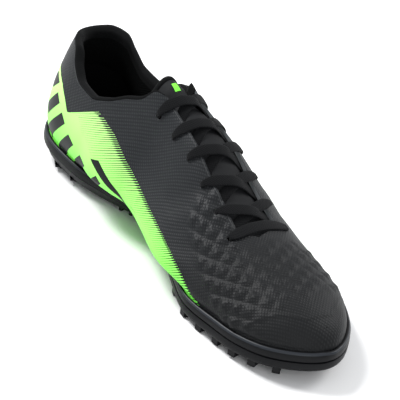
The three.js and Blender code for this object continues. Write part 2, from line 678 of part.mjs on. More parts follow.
// A flat lace from one place on the upper to another, just clear of its surface.
function laceBand(from, to) {
  const places = range(9, (t) => ({
    at: from.at + (to.at - from.at) * t,
    around: from.around + (to.around - from.around) * t,
  }));
  const start = lastPoint(from.at, from.around, 0);
  const across = lastPoint(to.at, to.around, 0).sub(start).normalize();
  const sheet = (lift) =>
    places.map(({ at, around }) => {
      const normal = normalAt(at, around || 1e-3);
      const beside = new THREE.Vector3().crossVectors(normal, across).normalize();
      const centre = lastPoint(at, around || 1e-9, 0).addScaledVector(normal, lift);
      return [-0.5, 0.5].map((share) => centre.clone().addScaledVector(beside, share * LACE_WIDTH));
    });
  return plateSolid(sheet(LACE_GAP + LACE_THICKNESS), sheet(LACE_GAP));
}

// Two bands that cross below a row of eyelets, each from its eyelet to where it dives under the other facing.
function crossingSolid(row) {
  const pitch = (LAST_EYELET - FIRST_EYELET) / (EYELET_ROWS - 1);
  const ends = (side) => {
    const start = eyeletPlace(row, side);
    const dive = start.at + LACE_DIVE * pitch;
    return [start, { at: dive, around: -side * edgeAround(dive, -side) }];
  };
  return laceBand(...ends(-1)).add(laceBand(...ends(1)));
}

// The straight bar at the throat's foot.
function barSolid() {
  return laceBand(eyeletPlace(EYELET_ROWS - 1, -1), eyeletPlace(EYELET_ROWS - 1, 1));
}

function meshOf(solid, name, color, roughness) {
  const { vertProperties, triVerts, numProp } = solid.getMesh();
  const geometry = new THREE.BufferGeometry();
  const positions = new Float32Array((vertProperties.length / numProp) * 3);
  for (let i = 0; i < positions.length / 3; i++) {
    positions.set(vertProperties.subarray(i * numProp, i * numProp + 3), 3 * i);
  }
  geometry.setAttribute("position", new THREE.BufferAttribute(positions, 3));
  geometry.setIndex(new THREE.BufferAttribute(triVerts, 1));
  geometry.computeVertexNormals();
  const mesh = new THREE.Mesh(geometry, new THREE.MeshStandardMaterial({ color, roughness, metalness: 0 }));
  mesh.name = name;
  return mesh;
}

const rubber = cupSolid().add(treadSolid());
const boot = new THREE.Group();
boot.add(
  meshOf(upperSolid(), "upper", 0x3d3f40, 0.5),
  meshOf(liningSolid(), "collar_lining", 0x151617, 0.9),
  meshOf(tongueSolid(), "tongue", 0x2a2c2d, 0.75),
  meshOf(insoleSolid(), "insole", 0x1c1d1e, 0.9),
  meshOf(rubber.subtract(panelPrism(CLEARANCE)), "outsole", 0x17191b, 0.6),
  meshOf(rubber.intersect(panelPrism(0)), "outsole_panel", 0x8cf25a, 0.55),
  meshOf(barSolid(), "lace_bar", 0x1d1f21, 0.8),
);
for (let row = 0; row < EYELET_ROWS - 1; row++) {
  boot.add(meshOf(crossingSolid(row), `lace_crossing_${row + 1}`, 0x1d1f21, 0.8));
}

// The origin lies on the ground under the middle of the whole boot.
const extent = new THREE.Box3().setFromObject(boot);
const middle = extent.getCenter(new THREE.Vector3());
boot.position.set(-middle.x, -middle.y, -extent.min.z);

export default boot;
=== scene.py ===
# A turf football boot for the left foot, dressed over its CAD frame: the same surfaces as the CAD
# model's, drawn finely, with relief, prints, seams and a lace laid along its route through the eyelets.
# Lengths are millimetres until to_world. X runs from the heel to the toe, Y towards the outer side, Z up.
# The tables of the shape were rounded from a least-squares fit to points picked in the photo.
import json
import math

import bmesh
import bpy
import numpy as np
from mathutils import Matrix, Vector


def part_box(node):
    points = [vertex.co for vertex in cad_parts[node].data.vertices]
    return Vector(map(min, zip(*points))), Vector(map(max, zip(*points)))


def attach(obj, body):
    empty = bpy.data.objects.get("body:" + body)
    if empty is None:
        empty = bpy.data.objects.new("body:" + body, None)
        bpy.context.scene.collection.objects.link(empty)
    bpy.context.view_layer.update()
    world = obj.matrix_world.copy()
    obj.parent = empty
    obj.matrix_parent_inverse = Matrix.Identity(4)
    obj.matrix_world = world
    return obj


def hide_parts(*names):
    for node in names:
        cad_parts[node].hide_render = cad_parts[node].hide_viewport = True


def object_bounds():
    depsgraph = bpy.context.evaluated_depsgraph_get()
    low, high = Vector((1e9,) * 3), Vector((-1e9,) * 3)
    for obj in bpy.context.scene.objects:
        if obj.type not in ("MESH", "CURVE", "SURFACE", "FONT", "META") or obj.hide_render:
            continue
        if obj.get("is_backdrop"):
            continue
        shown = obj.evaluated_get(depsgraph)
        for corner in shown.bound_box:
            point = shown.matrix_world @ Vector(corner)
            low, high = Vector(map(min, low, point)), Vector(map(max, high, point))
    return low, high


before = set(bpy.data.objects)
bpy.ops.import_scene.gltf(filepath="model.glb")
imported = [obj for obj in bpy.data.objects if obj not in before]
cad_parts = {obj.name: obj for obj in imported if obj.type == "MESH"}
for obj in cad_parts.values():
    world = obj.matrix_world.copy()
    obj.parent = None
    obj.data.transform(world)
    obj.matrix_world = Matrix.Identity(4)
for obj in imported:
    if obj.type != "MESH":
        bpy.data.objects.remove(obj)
cad_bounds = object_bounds()

# Driving sizes of the CAD model, in millimetres
SOLE_LENGTH = 285
HEEL_WIDTH = 64
WAIST_WIDTH = 58
BALL_WIDTH = 100
HEEL_ROUND = 38
TOE_ROUND = 92
WAIST_SHIFT = 10.5
TOE_SHIFT = 6.2
INSTEP_HEIGHT = 84
TOE_TOP_ROUND = 46
TOE_TOP_FULLNESS = 2.2
COLLAR_HEIGHT = 73
HEEL_LEAN = 11
LEAN_END = 0.24
HEEL_BELLY = 0.26
ARCH_BULGE = 25
OUTER_BULGE = 1.5
BULGE_PEAK = 8
WALL = 2
CLEARANCE = 0.3
THROAT_WIDTH = 22
HEEL_FLOOR = 13.5
WAIST_FLOOR = 10
BALL_FLOOR = 8.3
TOE_FLOOR = 15.8
CUP_DEPTH = 6.5
CUP_WALL = 3
CUP_TURN = 0.5
LUG_HEIGHT = 3.6
TOE_SPRING = 6.6
TOE_SPRING_START = 0.72
TOE_SPRING_CURVE = 1.8
HEEL_BEVEL = 5
HEEL_BEVEL_LENGTH = 28
HEEL_UNDERCUT = 4.5
UNDERCUT_END = 0.64
UNDERCUT_FADE = 0.2
ARCH_RISE = 2
ARCH_START = 0.28
ARCH_END = 0.54
EYELET_ROWS = 6
EYELET_EDGE = 7
FIRST_EYELET = 0.383
LAST_EYELET = 0.692


def table(columns, *rows):
    return dict(zip(columns.split(), np.array(rows, float).T))


# The sole's outline: width and drift of its middle line towards the outer side, at shares of the length
OUTLINE = table(
    "at width drift",
    (0.0, 0.945 * HEEL_WIDTH, 0),
    (0.1, 0.96 * HEEL_WIDTH, 0.06 * WAIST_SHIFT),
    (0.2, 0.985 * HEEL_WIDTH, 0.12 * WAIST_SHIFT),
    (0.3, 0.94 * HEEL_WIDTH, 0.6 * WAIST_SHIFT),
    (0.4, WAIST_WIDTH, 1.08 * WAIST_SHIFT),
    (0.5, 0.7 * BALL_WIDTH, 1.2 * WAIST_SHIFT),
    (0.6, 0.895 * BALL_WIDTH, 0.88 * WAIST_SHIFT),
    (0.7, 0.98 * BALL_WIDTH, 0.27 * WAIST_SHIFT),
    (0.78, 0.99 * BALL_WIDTH, 0.12 * WAIST_SHIFT),
    (0.86, 1.01 * BALL_WIDTH, -0.35 * TOE_SHIFT),
    (0.92, BALL_WIDTH, -0.78 * TOE_SHIFT),
    (1.0, 0.87 * BALL_WIDTH, -TOE_SHIFT),
)
# The upper's sections: ridge above the floor, drift of the ridge, fullness, shares of the side bulges
SECTIONS = table(
    "at ridge drift full inner outer",
    (0.0, 1.33 * INSTEP_HEIGHT, 0, 2.45, 0.2, 0.1),
    (0.12, 1.33 * INSTEP_HEIGHT, 0, 2.2, 0.2, 0.2),
    (0.22, 1.29 * INSTEP_HEIGHT, 0.1 * WAIST_SHIFT, 2.05, 0.35, 0.5),
    (0.3, 1.17 * INSTEP_HEIGHT, 0.13 * WAIST_SHIFT, 2.1, 0.76, 0.85),
    (0.36, 1.06 * INSTEP_HEIGHT, 0.15 * WAIST_SHIFT, 2.3, 0.85, 1),
    (0.4, 0.98 * INSTEP_HEIGHT, 0.16 * WAIST_SHIFT, 2.4, 0.79, 1),
    (0.5, 0.865 * INSTEP_HEIGHT, 0.14 * WAIST_SHIFT, 2.2, 0.8, 0.85),
    (0.6, 0.66 * INSTEP_HEIGHT, 0, 1.95, 0.56, 0.45),
    (0.7, 0.485 * INSTEP_HEIGHT, -0.25 * TOE_SHIFT, 2, 0.12, 0.25),
    (0.8, 0.4 * INSTEP_HEIGHT, -0.5 * TOE_SHIFT, 2.1, 0.08, 0.2),
    (0.9, 0.345 * INSTEP_HEIGHT, -0.65 * TOE_SHIFT, 2.2, 0.08, 0.2),
    (1.0, 0.3 * INSTEP_HEIGHT, -0.76 * TOE_SHIFT, 2.3, 0.08, 0.2),
)
FLOOR = table(
    "at height",
    (0.0, HEEL_FLOOR),
    (0.2, 0.88 * HEEL_FLOOR),
    (0.42, WAIST_FLOOR),
    (0.68, BALL_FLOOR),
    (0.8, 0.81 * BALL_FLOOR + 0.19 * TOE_FLOOR),
    (1.0, TOE_FLOOR),
)
# The collar's edge above the floor, and half the gap between the facings
COLLAR = table(
    "at rise",
    (0.0, COLLAR_HEIGHT),
    (0.03, 1.02 * COLLAR_HEIGHT),
    (0.075, 0.99 * COLLAR_HEIGHT),
    (0.11, 0.87 * COLLAR_HEIGHT),
    (0.15, 0.77 * COLLAR_HEIGHT),
    (0.2, 0.75 * COLLAR_HEIGHT),
    (0.25, 0.82 * COLLAR_HEIGHT),
    (0.29, 0.92 * COLLAR_HEIGHT),
    (0.33, COLLAR_HEIGHT),
)
THROAT = table(
    "at inner outer",
    (0.37, 0.445 * THROAT_WIDTH, 0.48 * THROAT_WIDTH),
    (0.42, 0.465 * THROAT_WIDTH, 0.57 * THROAT_WIDTH),
    (0.52, 0.51 * THROAT_WIDTH, 0.68 * THROAT_WIDTH),
    (0.62, 0.48 * THROAT_WIDTH, 0.77 * THROAT_WIDTH),
    (0.69, 0.455 * THROAT_WIDTH, 0.88 * THROAT_WIDTH),
    (0.715, 0, 0),
)
THROAT_START = THROAT["at"][0]
QUARTER_TURN = math.pi / 2
# Just off the ridge, where the two sides are still told apart
OFF_RIDGE = 1e-9
CORNER_ROUND = 0.03


def curve(rows, at, column):
    """A smooth curve through a table's rows that never overshoots them."""
    xs, ys = rows["at"], rows[column]
    at = np.clip(at, xs[0], xs[-1])
    slope = np.diff(ys) / np.diff(xs)
    product = slope[:-1] * slope[1:]
    turning = product <= 0
    between = np.where(turning, 0, 2 * product / np.where(turning, 1, slope[:-1] + slope[1:]))
    tangent = np.concatenate([slope[:1], between, slope[-1:]])
    i = np.clip(np.searchsorted(xs, at, "right") - 1, 0, len(xs) - 2)
    span = xs[i + 1] - xs[i]
    t = (at - xs[i]) / span
    return (
        ys[i] * (2 * t**3 - 3 * t**2 + 1)
        + tangent[i] * span * (t**3 - 2 * t**2 + t)
        + ys[i + 1] * (3 * t**2 - 2 * t**3)
        + tangent[i + 1] * span * (t**3 - t**2)
    )


def unit(vectors):
    return vectors / np.maximum(np.linalg.norm(vectors, axis=-1, keepdims=True), OFF_RIDGE)


def smoothstep(x, low, high):
    t = np.clip((x - low) / (high - low), 0, 1)
    return t * t * (3 - 2 * t)


def half_width(at, inset):
    heel = np.clip(1 - at * SOLE_LENGTH / HEEL_ROUND, 0, 1)
    toe = np.clip(1 - (1 - at) * SOLE_LENGTH / TOE_ROUND, 0, 1)
    return (curve(OUTLINE, at, "width") / 2 - CUP_WALL - inset) * np.sqrt((1 - heel**2) * (1 - toe**2))


def floor_height(at):
    return curve(FLOOR, at, "height")


def sole_x(at, inset):
    return CUP_WALL + inset + at * (SOLE_LENGTH - 2 * (CUP_WALL + inset))


def toe_fall(at):
    toe = np.clip(1 - (1 - at) * SOLE_LENGTH / TOE_TOP_ROUND, 0, 1)
    return (1 - toe**TOE_TOP_FULLNESS) ** (1 / TOE_TOP_FULLNESS)


def around_at_rise(at, rise):
    """How far round the surface a height above the floor lies: 0 on the ridge, 1 at the foot."""
    share = np.clip(rise / (curve(SECTIONS, at, "ridge") * np.maximum(toe_fall(at), 1e-6)), 0, 1)
    return 1 - np.arcsin(share ** (curve(SECTIONS, at, "full") / 2)) / QUARTER_TURN


def rim_around(at):
    return around_at_rise(at, CUP_DEPTH + 1)


def around_at_half(at, half):
    share = np.clip(half / half_width(at, 0), 0, 1)
    return 1 - np.arccos(share ** (curve(SECTIONS, at, "full") / 2)) / QUARTER_TURN


def last_point(at, around, inset=0.0):
    """A point on the upper's surface, moved in by an inset. around runs from -1 at the inner side's
    foot over 0 on the ridge to 1 at the outer side's foot."""
    at, around, inset = np.broadcast_arrays(np.asarray(at, float), around, inset)
    lift = QUARTER_TURN * np.clip(1 - np.abs(around), 0, 1)
    side = np.sign(around)
    full = curve(SECTIONS, at, "full")
    above = np.maximum(0, lift - QUARTER_TURN * (1 - rim_around(at))) / math.radians(BULGE_PEAK)
    swell = above * np.exp(1 - above) * np.cos(lift)
    inner = ARCH_BULGE * curve(SECTIONS, at, "inner")
    outer = OUTER_BULGE * curve(SECTIONS, at, "outer")
    half = half_width(at, inset)
    ends = half / (curve(OUTLINE, at, "width") / 2 - CUP_WALL - inset)
    middle = curve(OUTLINE, at, "drift")
    ridge = curve(SECTIONS, at, "drift")
    rise = (curve(SECTIONS, at, "ridge") - inset) * toe_fall(at) * np.sin(lift) ** (2 / full)
    fade = np.maximum(0, 1 - at / LEAN_END) ** 2
    belly = HEEL_BELLY * COLLAR_HEIGHT
    lean = HEEL_LEAN * ((rise - belly) / (COLLAR_HEIGHT - belly)) ** 2 * fade
    reach = half * np.cos(lift) ** (2 / full) + swell * np.where(side < 0, inner, outer) * ends
    return np.stack(
        [
            sole_x(at, inset) + lean,
            middle + (ridge - middle) * np.sin(lift) + side * reach,
            floor_height(at) + CLEARANCE + rise,
        ],
        axis=-1,
    )


_collar = around_at_rise(COLLAR["at"], COLLAR["rise"])
EDGE = table(
    "at inner outer",
    *zip(COLLAR["at"], _collar, _collar),
    *zip(THROAT["at"], *[around_at_half(THROAT["at"], THROAT[side]) for side in ("inner", "outer")]),
)


def side_column(side):
    return "inner" if side < 0 else "outer"


def edge_around(at, side):
    """The upper's edge, a little rounded at the corner between collar and throat."""
    at = np.asarray(at, float)
    reach = CORNER_ROUND * np.exp(-(((at - THROAT_START) / CORNER_ROUND) ** 2))
    return sum(curve(EDGE, at + k * reach, side_column(side)) for k in (-1, -0.5, 0, 0.5, 1)) / 5


def normal_at(at, around):
    """The direction straight out of the upper's surface."""
    step = 0.004
    along = last_point(at + step, around) - last_point(at - step, around)
    across = last_point(at, around + step) - last_point(at, around - step)
    return unit(np.cross(along, across))


def ends_crowded(count):
    """Shares of the length, closer together at the round heel and toe."""
    return (1 - np.cos(np.pi * np.linspace(0, 1, count))) / 2


def between(start, end, count):
    stations = ends_crowded(count)
    within = stations[(stations > start + 1e-4) & (stations < end - 1e-4)]
    return np.concatenate([[start], within, [end]])


# Fineness of the drawn surfaces
UPPER_STATIONS = 300
UPPER_ROWS = 84
SOLE_STATIONS = 200
LINING_STATIONS = 220


def loop(at, inset, height):
    """A closed loop round the sole at an inset and a height, on the upper's surface above the floor."""
    z = height(at, sole_x(at, inset) / SOLE_LENGTH)
    rise = z - floor_height(at) - CLEARANCE
    around = np.where(rise > 0, np.maximum(CUP_TURN, around_at_rise(at, np.maximum(rise, 0))), 1)
    sides = []
    for side in (-1, 1):
        points = last_point(at, side * around, inset)
        points[:, 2] = z
        sides.append(points)
    return np.concatenate([sides[0], sides[1][-2:0:-1]])


def plate_bottom(at):
    """The sole plate's underside above the ground, without lugs."""
    toe = np.maximum(0, at - TOE_SPRING_START) / (1 - TOE_SPRING_START)
    heel = np.maximum(0, 1 - at * SOLE_LENGTH / HEEL_BEVEL_LENGTH)
    arch = np.sin(np.pi * np.clip((at - ARCH_START) / (ARCH_END - ARCH_START), 0, 1)) ** 2
    return LUG_HEIGHT + TOE_SPRING * toe**TOE_SPRING_CURVE + HEEL_BEVEL * heel**2 + ARCH_RISE * arch


def side_undercut(at):
    return HEEL_UNDERCUT * np.clip((UNDERCUT_END - at) / UNDERCUT_FADE, 0, 1)


INSOLE_INSET = WALL + 4 * CLEARANCE
INSOLE_THICKNESS = 4


def insole_loop(at, rise, inset=INSOLE_INSET):
    return loop(at, inset, lambda share, _: floor_height(share) + CLEARANCE + rise)


# The CAD model's origin lies under the middle of the whole boot, so the insole's corner gives the shift.
_coarse = np.concatenate([insole_loop(ends_crowded(33), rise) for rise in (0, INSOLE_THICKNESS)])
ORIGIN = _coarse.min(axis=0) - 1000 * np.array(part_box("insole")[0])
ORIGIN[2] = 0


def to_world(points):
    return (np.asarray(points, float) - ORIGIN) / 1000


class Mesh:
    """Points, faces and a flat map, gathered piece by piece."""

    def __init__(self):
        self.points, self.faces, self.flat, self.slots = [], [], [], []
        self.count = 0

    def add(self, points, faces, flat=None, slot=0):
        points = np.asarray(points, float).reshape(-1, 3)
        self.points.append(points)
        self.flat.append(np.zeros((len(points), 2)) if flat is None else np.asarray(flat).reshape(-1, 2))
        self.faces += [[self.count + i for i in face] for face in faces]
        self.slots += list(slot) if np.ndim(slot) else [slot] * len(faces)
        self.count += len(points)

    def grid(self, points, closed=False, flat=None, slot=0, flip=False):
        """Rows of points joined by quads. A closed grid joins each row's end to its start."""
        rows, columns = points.shape[:2]
        across = columns if closed else columns - 1
        r, c = np.meshgrid(np.arange(rows - 1), np.arange(across), indexing="ij")
        here, below, n = r * columns, (r + 1) * columns, (c + 1) % columns
        quads = np.stack([here + c, here + n, below + n, below + c], -1)
        if flip:
            quads = quads[..., ::-1]
        slots = np.broadcast_to(slot, quads.shape[:2]).ravel() if np.ndim(slot) else slot
        self.add(points, quads.reshape(-1, 4).tolist(), flat, slots)

    def piece(self, name, materials, slot, replaces=(), sharp=40, merge=None):
        mesh = bpy.data.meshes.new(name)
        points = np.concatenate(self.points)
        mesh.from_pydata(to_world(points).tolist(), [], self.faces)
        for material in materials:
            mesh.materials.append(material)
        mesh.polygons.foreach_set("material_index", np.array(self.slots, np.int32))
        flat = np.concatenate(self.flat)
        corners = np.zeros(len(mesh.loops), np.int32)
        mesh.loops.foreach_get("vertex_index", corners)
        layer = mesh.uv_layers.new(name="flat")
        layer.data.foreach_set("uv", (flat[corners] / 1000).astype(np.float32).ravel())
        mesh.validate()
        obj = bpy.data.objects.new(name, mesh)
        bpy.context.scene.collection.objects.link(obj)
        if merge:
            weld(mesh, merge)
        mesh.shade_smooth()
        mesh.set_sharp_from_angle(angle=math.radians(sharp))
        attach(obj, "root")
        if replaces:
            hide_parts(*replaces)
        return obj


def weld(mesh, distance):
    work = bmesh.new()
    work.from_mesh(mesh)
    bmesh.ops.remove_doubles(work, verts=work.verts, dist=distance)
    bmesh.ops.dissolve_degenerate(work, edges=work.edges, dist=distance / 10)
    bmesh.ops.recalc_face_normals(work, faces=work.faces)
    work.to_mesh(mesh)
    work.free()


def linear(code):
    """A web colour code as linear red, green, blue and alpha."""
    parts = [int(code[i : i + 2], 16) / 255 for i in (0, 2, 4)]
    return tuple(c / 12.92 if c <= 0.04045 else ((c + 0.055) / 1.055) ** 2.4 for c in parts) + (1,)


class Finish:
    """A material's node tree, built from the surface back."""

    def __init__(self, name, colour, roughness, sheen=0.0, specular=0.5):
        self.material = bpy.data.materials.new(name)
        self.material.use_nodes = True
        self.tree = self.material.node_tree
        self.shader = self.tree.nodes["Principled BSDF"]
        self.shader.inputs["Base Color"].default_value = linear(colour)
        self.shader.inputs["Roughness"].default_value = roughness
        self.shader.inputs["Sheen Weight"].default_value = sheen
        self.shader.inputs["Specular IOR Level"].default_value = specular

    def node(self, kind, inputs=(), **settings):
        node = self.tree.nodes.new(kind)
        for key, value in settings.items():
            setattr(node, key, value)
        for key, value in dict(inputs).items():
            self.plug(node.inputs[key], value)
        return node

    def plug(self, socket, value):
        if isinstance(value, bpy.types.NodeSocket):
            self.tree.links.new(value, socket)
        else:
            socket.default_value = value

    def math(self, operation, a, b=0.0):
        return self.node("ShaderNodeMath", {0: a, 1: b}, operation=operation).outputs[0]

    def flat(self, turn=0.0):
        """The flat map's two directions in metres, turned by an angle."""
        places = self.node("ShaderNodeUVMap", uv_map="flat").outputs[0]
        mapping = self.node("ShaderNodeMapping", {"Vector": places})
        mapping.inputs["Rotation"].default_value[2] = math.radians(turn)
        split = self.node("ShaderNodeSeparateXYZ", {0: mapping.outputs[0]})
        return split.outputs[0], split.outputs[1]

    def wave(self, along, period):
        """A sine along one direction, from 0 to 1."""
        turn = self.math("MULTIPLY", along, 2 * math.pi / period)
        return self.math("MULTIPLY", self.math("ADD", self.math("SINE", turn), 1), 0.5)

    def weave(self, period, turn=45):
        a, b = self.flat(turn)
        return self.math("MULTIPLY", self.wave(a, period), self.wave(b, period))

    def noise(self, scale):
        places = self.node("ShaderNodeTexCoord").outputs["Object"]
        settings = {"Vector": places, "Scale": scale, "Detail": 3.0}
        return self.node("ShaderNodeTexNoise", settings).outputs["Fac"]

    def bump(self, height, depth):
        """Adds a bump of a depth in metres over those already there."""
        node = self.node("ShaderNodeBump", {"Strength": 1.0, "Distance": depth, "Height": height})
        links = self.shader.inputs["Normal"].links
        if links:
            self.plug(node.inputs["Normal"], links[0].from_socket)
        self.plug(self.shader.inputs["Normal"], node.outputs["Normal"])

    def spread(self, factor, low, high):
        """Varies the roughness between two values."""
        settings = {"Value": factor, "To Min": low, "To Max": high}
        node = self.node("ShaderNodeMapRange", settings)
        self.plug(self.shader.inputs["Roughness"], node.outputs["Result"])

    def colours(self, factor, low, high):
        settings = {0: factor, 6: linear(low), 7: linear(high)}
        node = self.node("ShaderNodeMix", settings, data_type="RGBA")
        self.plug(self.shader.inputs["Base Color"], node.outputs[2])

    def darker(self, along, start, end, least):
        """Darkens the colour already there along a direction."""
        settings = {"Value": along, "From Min": start, "From Max": end, "To Min": 1, "To Max": least}
        fade = self.node("ShaderNodeMapRange", settings, interpolation_type="SMOOTHSTEP")
        node = self.node("ShaderNodeVectorMath", operation="SCALE")
        self.plug(node.inputs[0], self.shader.inputs["Base Color"].links[0].from_socket)
        self.plug(node.inputs["Scale"], fade.outputs["Result"])
        self.plug(self.shader.inputs["Base Color"], node.outputs[0])


# Finishes
coated = Finish("coated_upper", "1e2022", 0.5, specular=0.22)
coated_weave = coated.weave(0.0017)
coated.bump(coated_weave, 0.00016)
# The weave's raised dots are painted lighter than its hollows: a painted highlight on the coating's dots
coated.colours(coated_weave, "181a1d", "2a2d2f")
coated.darker(coated.flat()[0], 0.13, 0.23, 0.36)
coated.bump(coated.noise(900), 0.00004)
coated.spread(coated.noise(25), 0.46, 0.6)
cut_edge = Finish("upper_cut_edge", "55585a", 0.7)
inside = Finish("upper_inside", "070708", 0.95, specular=0.1)
mesh_cloth = Finish("lining_mesh", "070808", 0.95, specular=0.08)
mesh_cloth.bump(mesh_cloth.weave(0.0016, 30), 0.00025)
binding_cloth = Finish("binding", "090a0b", 0.85, sheen=0.02, specular=0.12)
binding_cloth.bump(binding_cloth.weave(0.0008, 45), 0.00008)
tongue_cloth = Finish("tongue_cloth", "17181a", 0.7, specular=0.2)
tongue_cloth.bump(tongue_cloth.weave(0.0009, 45), 0.00006)
insole_cloth = Finish("insole_cloth", "0a0b0b", 0.95, specular=0.08)
insole_cloth.bump(insole_cloth.noise(1500), 0.00015)
lace_cloth = Finish("lace_cloth", "0a0b0d", 0.85, sheen=0.03, specular=0.14)
lace_cloth.bump(lace_cloth.weave(0.0011, 45), 0.00018)
thread = Finish("thread", "2a2c2e", 0.7)
black_rubber = Finish("black_rubber", "07080b", 0.5, specular=0.18)
black_rubber.bump(black_rubber.noise(1800), 0.00003)
# Paler rubber for the rim's top edge: partly a glue line, partly a painted highlight
rim_glue_line_and_highlight = Finish("rim_glue_line_and_highlight", "20242a", 0.45, specular=0.3)
green_rubber = Finish("green_rubber", "3fdc12", 0.45)
green_rubber.bump(green_rubber.noise(1800), 0.00003)
green_print = Finish("green_print", "7dfb45", 0.5, specular=0.25)
green_rise = green_print.math("DIVIDE", green_print.flat()[1], 0.05)
green_print.colours(green_print.math("MINIMUM", green_rise, 1.0), "6ff542", "c2ff94")
dark_print = Finish("dark_print", "17191a", 0.5, specular=0.2)
label_cloth = Finish("label_cloth", "77ea3c", 0.7)

# The upper's raised pyramids: strong over the inner ball, faint over the toe
PYRAMID_SIZE = 8.8
PYRAMID_TURN = math.radians(28)
PYRAMID_HEIGHT = 2.1
FAINT_HEIGHT = 1.15


def tent(x):
    return 1 - np.abs(2 * (x - np.floor(x)) - 1)


def relief(s, v):
    """Height of the relief at a length s and a distance v from the ridge, negative to the inner side."""
    p = (s * math.cos(PYRAMID_TURN) + v * math.sin(PYRAMID_TURN)) / PYRAMID_SIZE
    q = (v * math.cos(PYRAMID_TURN) - s * math.sin(PYRAMID_TURN)) / PYRAMID_SIZE
    pyramid = np.minimum(tent(p), tent(q))
    middle = -25 - 0.24 * (s - 183)
    ends = smoothstep(s, 160, 174) * (1 - smoothstep(s, 236, 250))
    strong = ends * (1 - smoothstep(np.abs(v - middle), 10, 18))
    along = smoothstep(s, 204, 216) * (1 - smoothstep(s, 246, 260))
    top = along * (1 - smoothstep(np.abs(v + 2), 38, 48))
    return pyramid * np.maximum(PYRAMID_HEIGHT * strong, FAINT_HEIGHT * top)


# Soft creases and seams of the upper: start, end (length, distance from the ridge), half width, height
CREASES = [
    ((150, -44), (163, -20), 5, -0.5),
    ((160, -48), (176, -24), 4, 0.4),
    ((166, -60), (186, -40), 5, -0.45),
    ((186, 30), (176, 52), 5, -0.5),
    ((174, 24), (164, 50), 4, 0.35),
    ((70, -66), (94, -41), 0.7, 0.3),
    ((94, -41), (111, -20), 0.7, 0.3),
    ((96, -58), (110, -44), 0.7, 0.3),
    ((110, -44), (121, -29), 0.7, 0.3),
    ((246, -44), (256, -24), 1.1, 0.35),
    ((256, -24), (268, -10), 1.1, 0.35),
    ((268, -10), (270, 8), 1.1, 0.35),
    ((270, 8), (256, 28), 1.1, 0.35),
    ((256, 28), (244, 44), 1.1, 0.35),
]


def creases(s, v):
    total = np.zeros(np.broadcast(s, v).shape)
    for (s0, v0), (s1, v1), half, height in CREASES:
        run = np.array([s1 - s0, v1 - v0], float)
        t = np.clip(((s - s0) * run[0] + (v - v0) * run[1]) / (run @ run), 0, 1)
        away = np.hypot(s - s0 - t * run[0], v - v0 - t * run[1])
        ridge = height * np.exp(-((away / half) ** 2))
        total = np.where(np.abs(ridge) > np.abs(total), ridge, total)
    return total


def arc_table(at, side):
    """Distance from the ridge along the section, for shares of the way round from 0 to 1."""
    shares = np.linspace(0, 1, 120)
    points = last_point(at[:, None], side * np.maximum(shares, OFF_RIDGE)[None, :])
    steps = np.linalg.norm(np.diff(points, axis=1), axis=-1)
    return shares, np.concatenate([np.zeros((len(at), 1)), np.cumsum(steps, axis=1)], axis=1)


def flat_of(at, around):
    """The flat map: length along the boot and signed distance from the ridge."""
    side = -1 if np.sum(around) < 0 else 1
    shares, arcs = arc_table(at[:, 0], side)
    v = np.stack([np.interp(np.abs(row), shares, arc) for row, arc in zip(around, arcs)])
    return np.stack([at * SOLE_LENGTH, side * v], -1)


def surface(at, around, lift=0.0):
    """Points over the upper's drawn surface, relief and creases included."""
    flat = flat_of(at, around)
    height = relief(flat[..., 0], flat[..., 1]) + creases(flat[..., 0], flat[..., 1])
    height = height * smoothstep(1 - np.abs(around), 0.0, 0.06)
    return last_point(at, around) + normal_at(at, around) * (height + lift)[..., None], flat


def upper_piece():
    mesh = Mesh()
    at = between(0, 1, UPPER_STATIONS)[:, None]
    shares = np.linspace(0, 1, UPPER_ROWS)[None, :]
    for side in (-1, 1):
        edge = edge_around(at, side)
        around = side * np.maximum(1 - (1 - edge) * shares, OFF_RIDGE)
        at_grid = np.broadcast_to(at, around.shape)
        outer, flat = surface(at_grid, around)
        rim = side * np.maximum(edge, OFF_RIDGE)
        round_in = [last_point(at, rim, WALL * share) for share in (0.15, 0.85)]
        inner_around = around[:, ::-6]
        inner = last_point(np.broadcast_to(at, inner_around.shape), inner_around, WALL)
        rows = np.concatenate([outer, *round_in, inner], axis=1)
        extra = np.repeat(flat[:, -1:], rows.shape[1] - flat.shape[1], axis=1)
        columns = rows.shape[1]
        slots = np.zeros((len(at) - 1, columns), int)
        slots[:, UPPER_ROWS - 1 : UPPER_ROWS + 2] = 1
        slots[:, UPPER_ROWS + 2 :] = 2
        flat = np.concatenate([flat, extra], axis=1)
        mesh.grid(rows, closed=True, flat=flat, slot=slots, flip=side > 0)
    materials = [coated.material, cut_edge.material, inside.material]
    return mesh.piece("upper_shell", materials, "upper", ["upper"], merge=2e-5)


def eyelet_place(row, side):
    at = FIRST_EYELET + (LAST_EYELET - FIRST_EYELET) * row / (EYELET_ROWS - 1)
    return at, side * around_at_half(at, curve(THROAT, at, side_column(side)) + EYELET_EDGE)


def smooth_profile(points, count):
    """A closed smooth curve through a few corners of a section, as weights on those corners."""
    n = len(points)
    t = np.arange(count) * n / count
    i = np.floor(t).astype(int)
    f = t - i
    weights = np.zeros((count, n))
    for offset, w in (
        (-1, -0.5 * f + f**2 - 0.5 * f**3),
        (0, 1 - 2.5 * f**2 + 1.5 * f**3),
        (1, 0.5 * f + 2 * f**2 - 1.5 * f**3),
        (2, -0.5 * f**2 + 0.5 * f**3),
    ):
        np.add.at(weights, (np.arange(count), (i + offset) % n), w)
    return weights


LINING_THICKNESS = 3.2
BINDING_HEIGHT = 3.6
LINING_DEPTH = 26
LINING_SIDES = 56


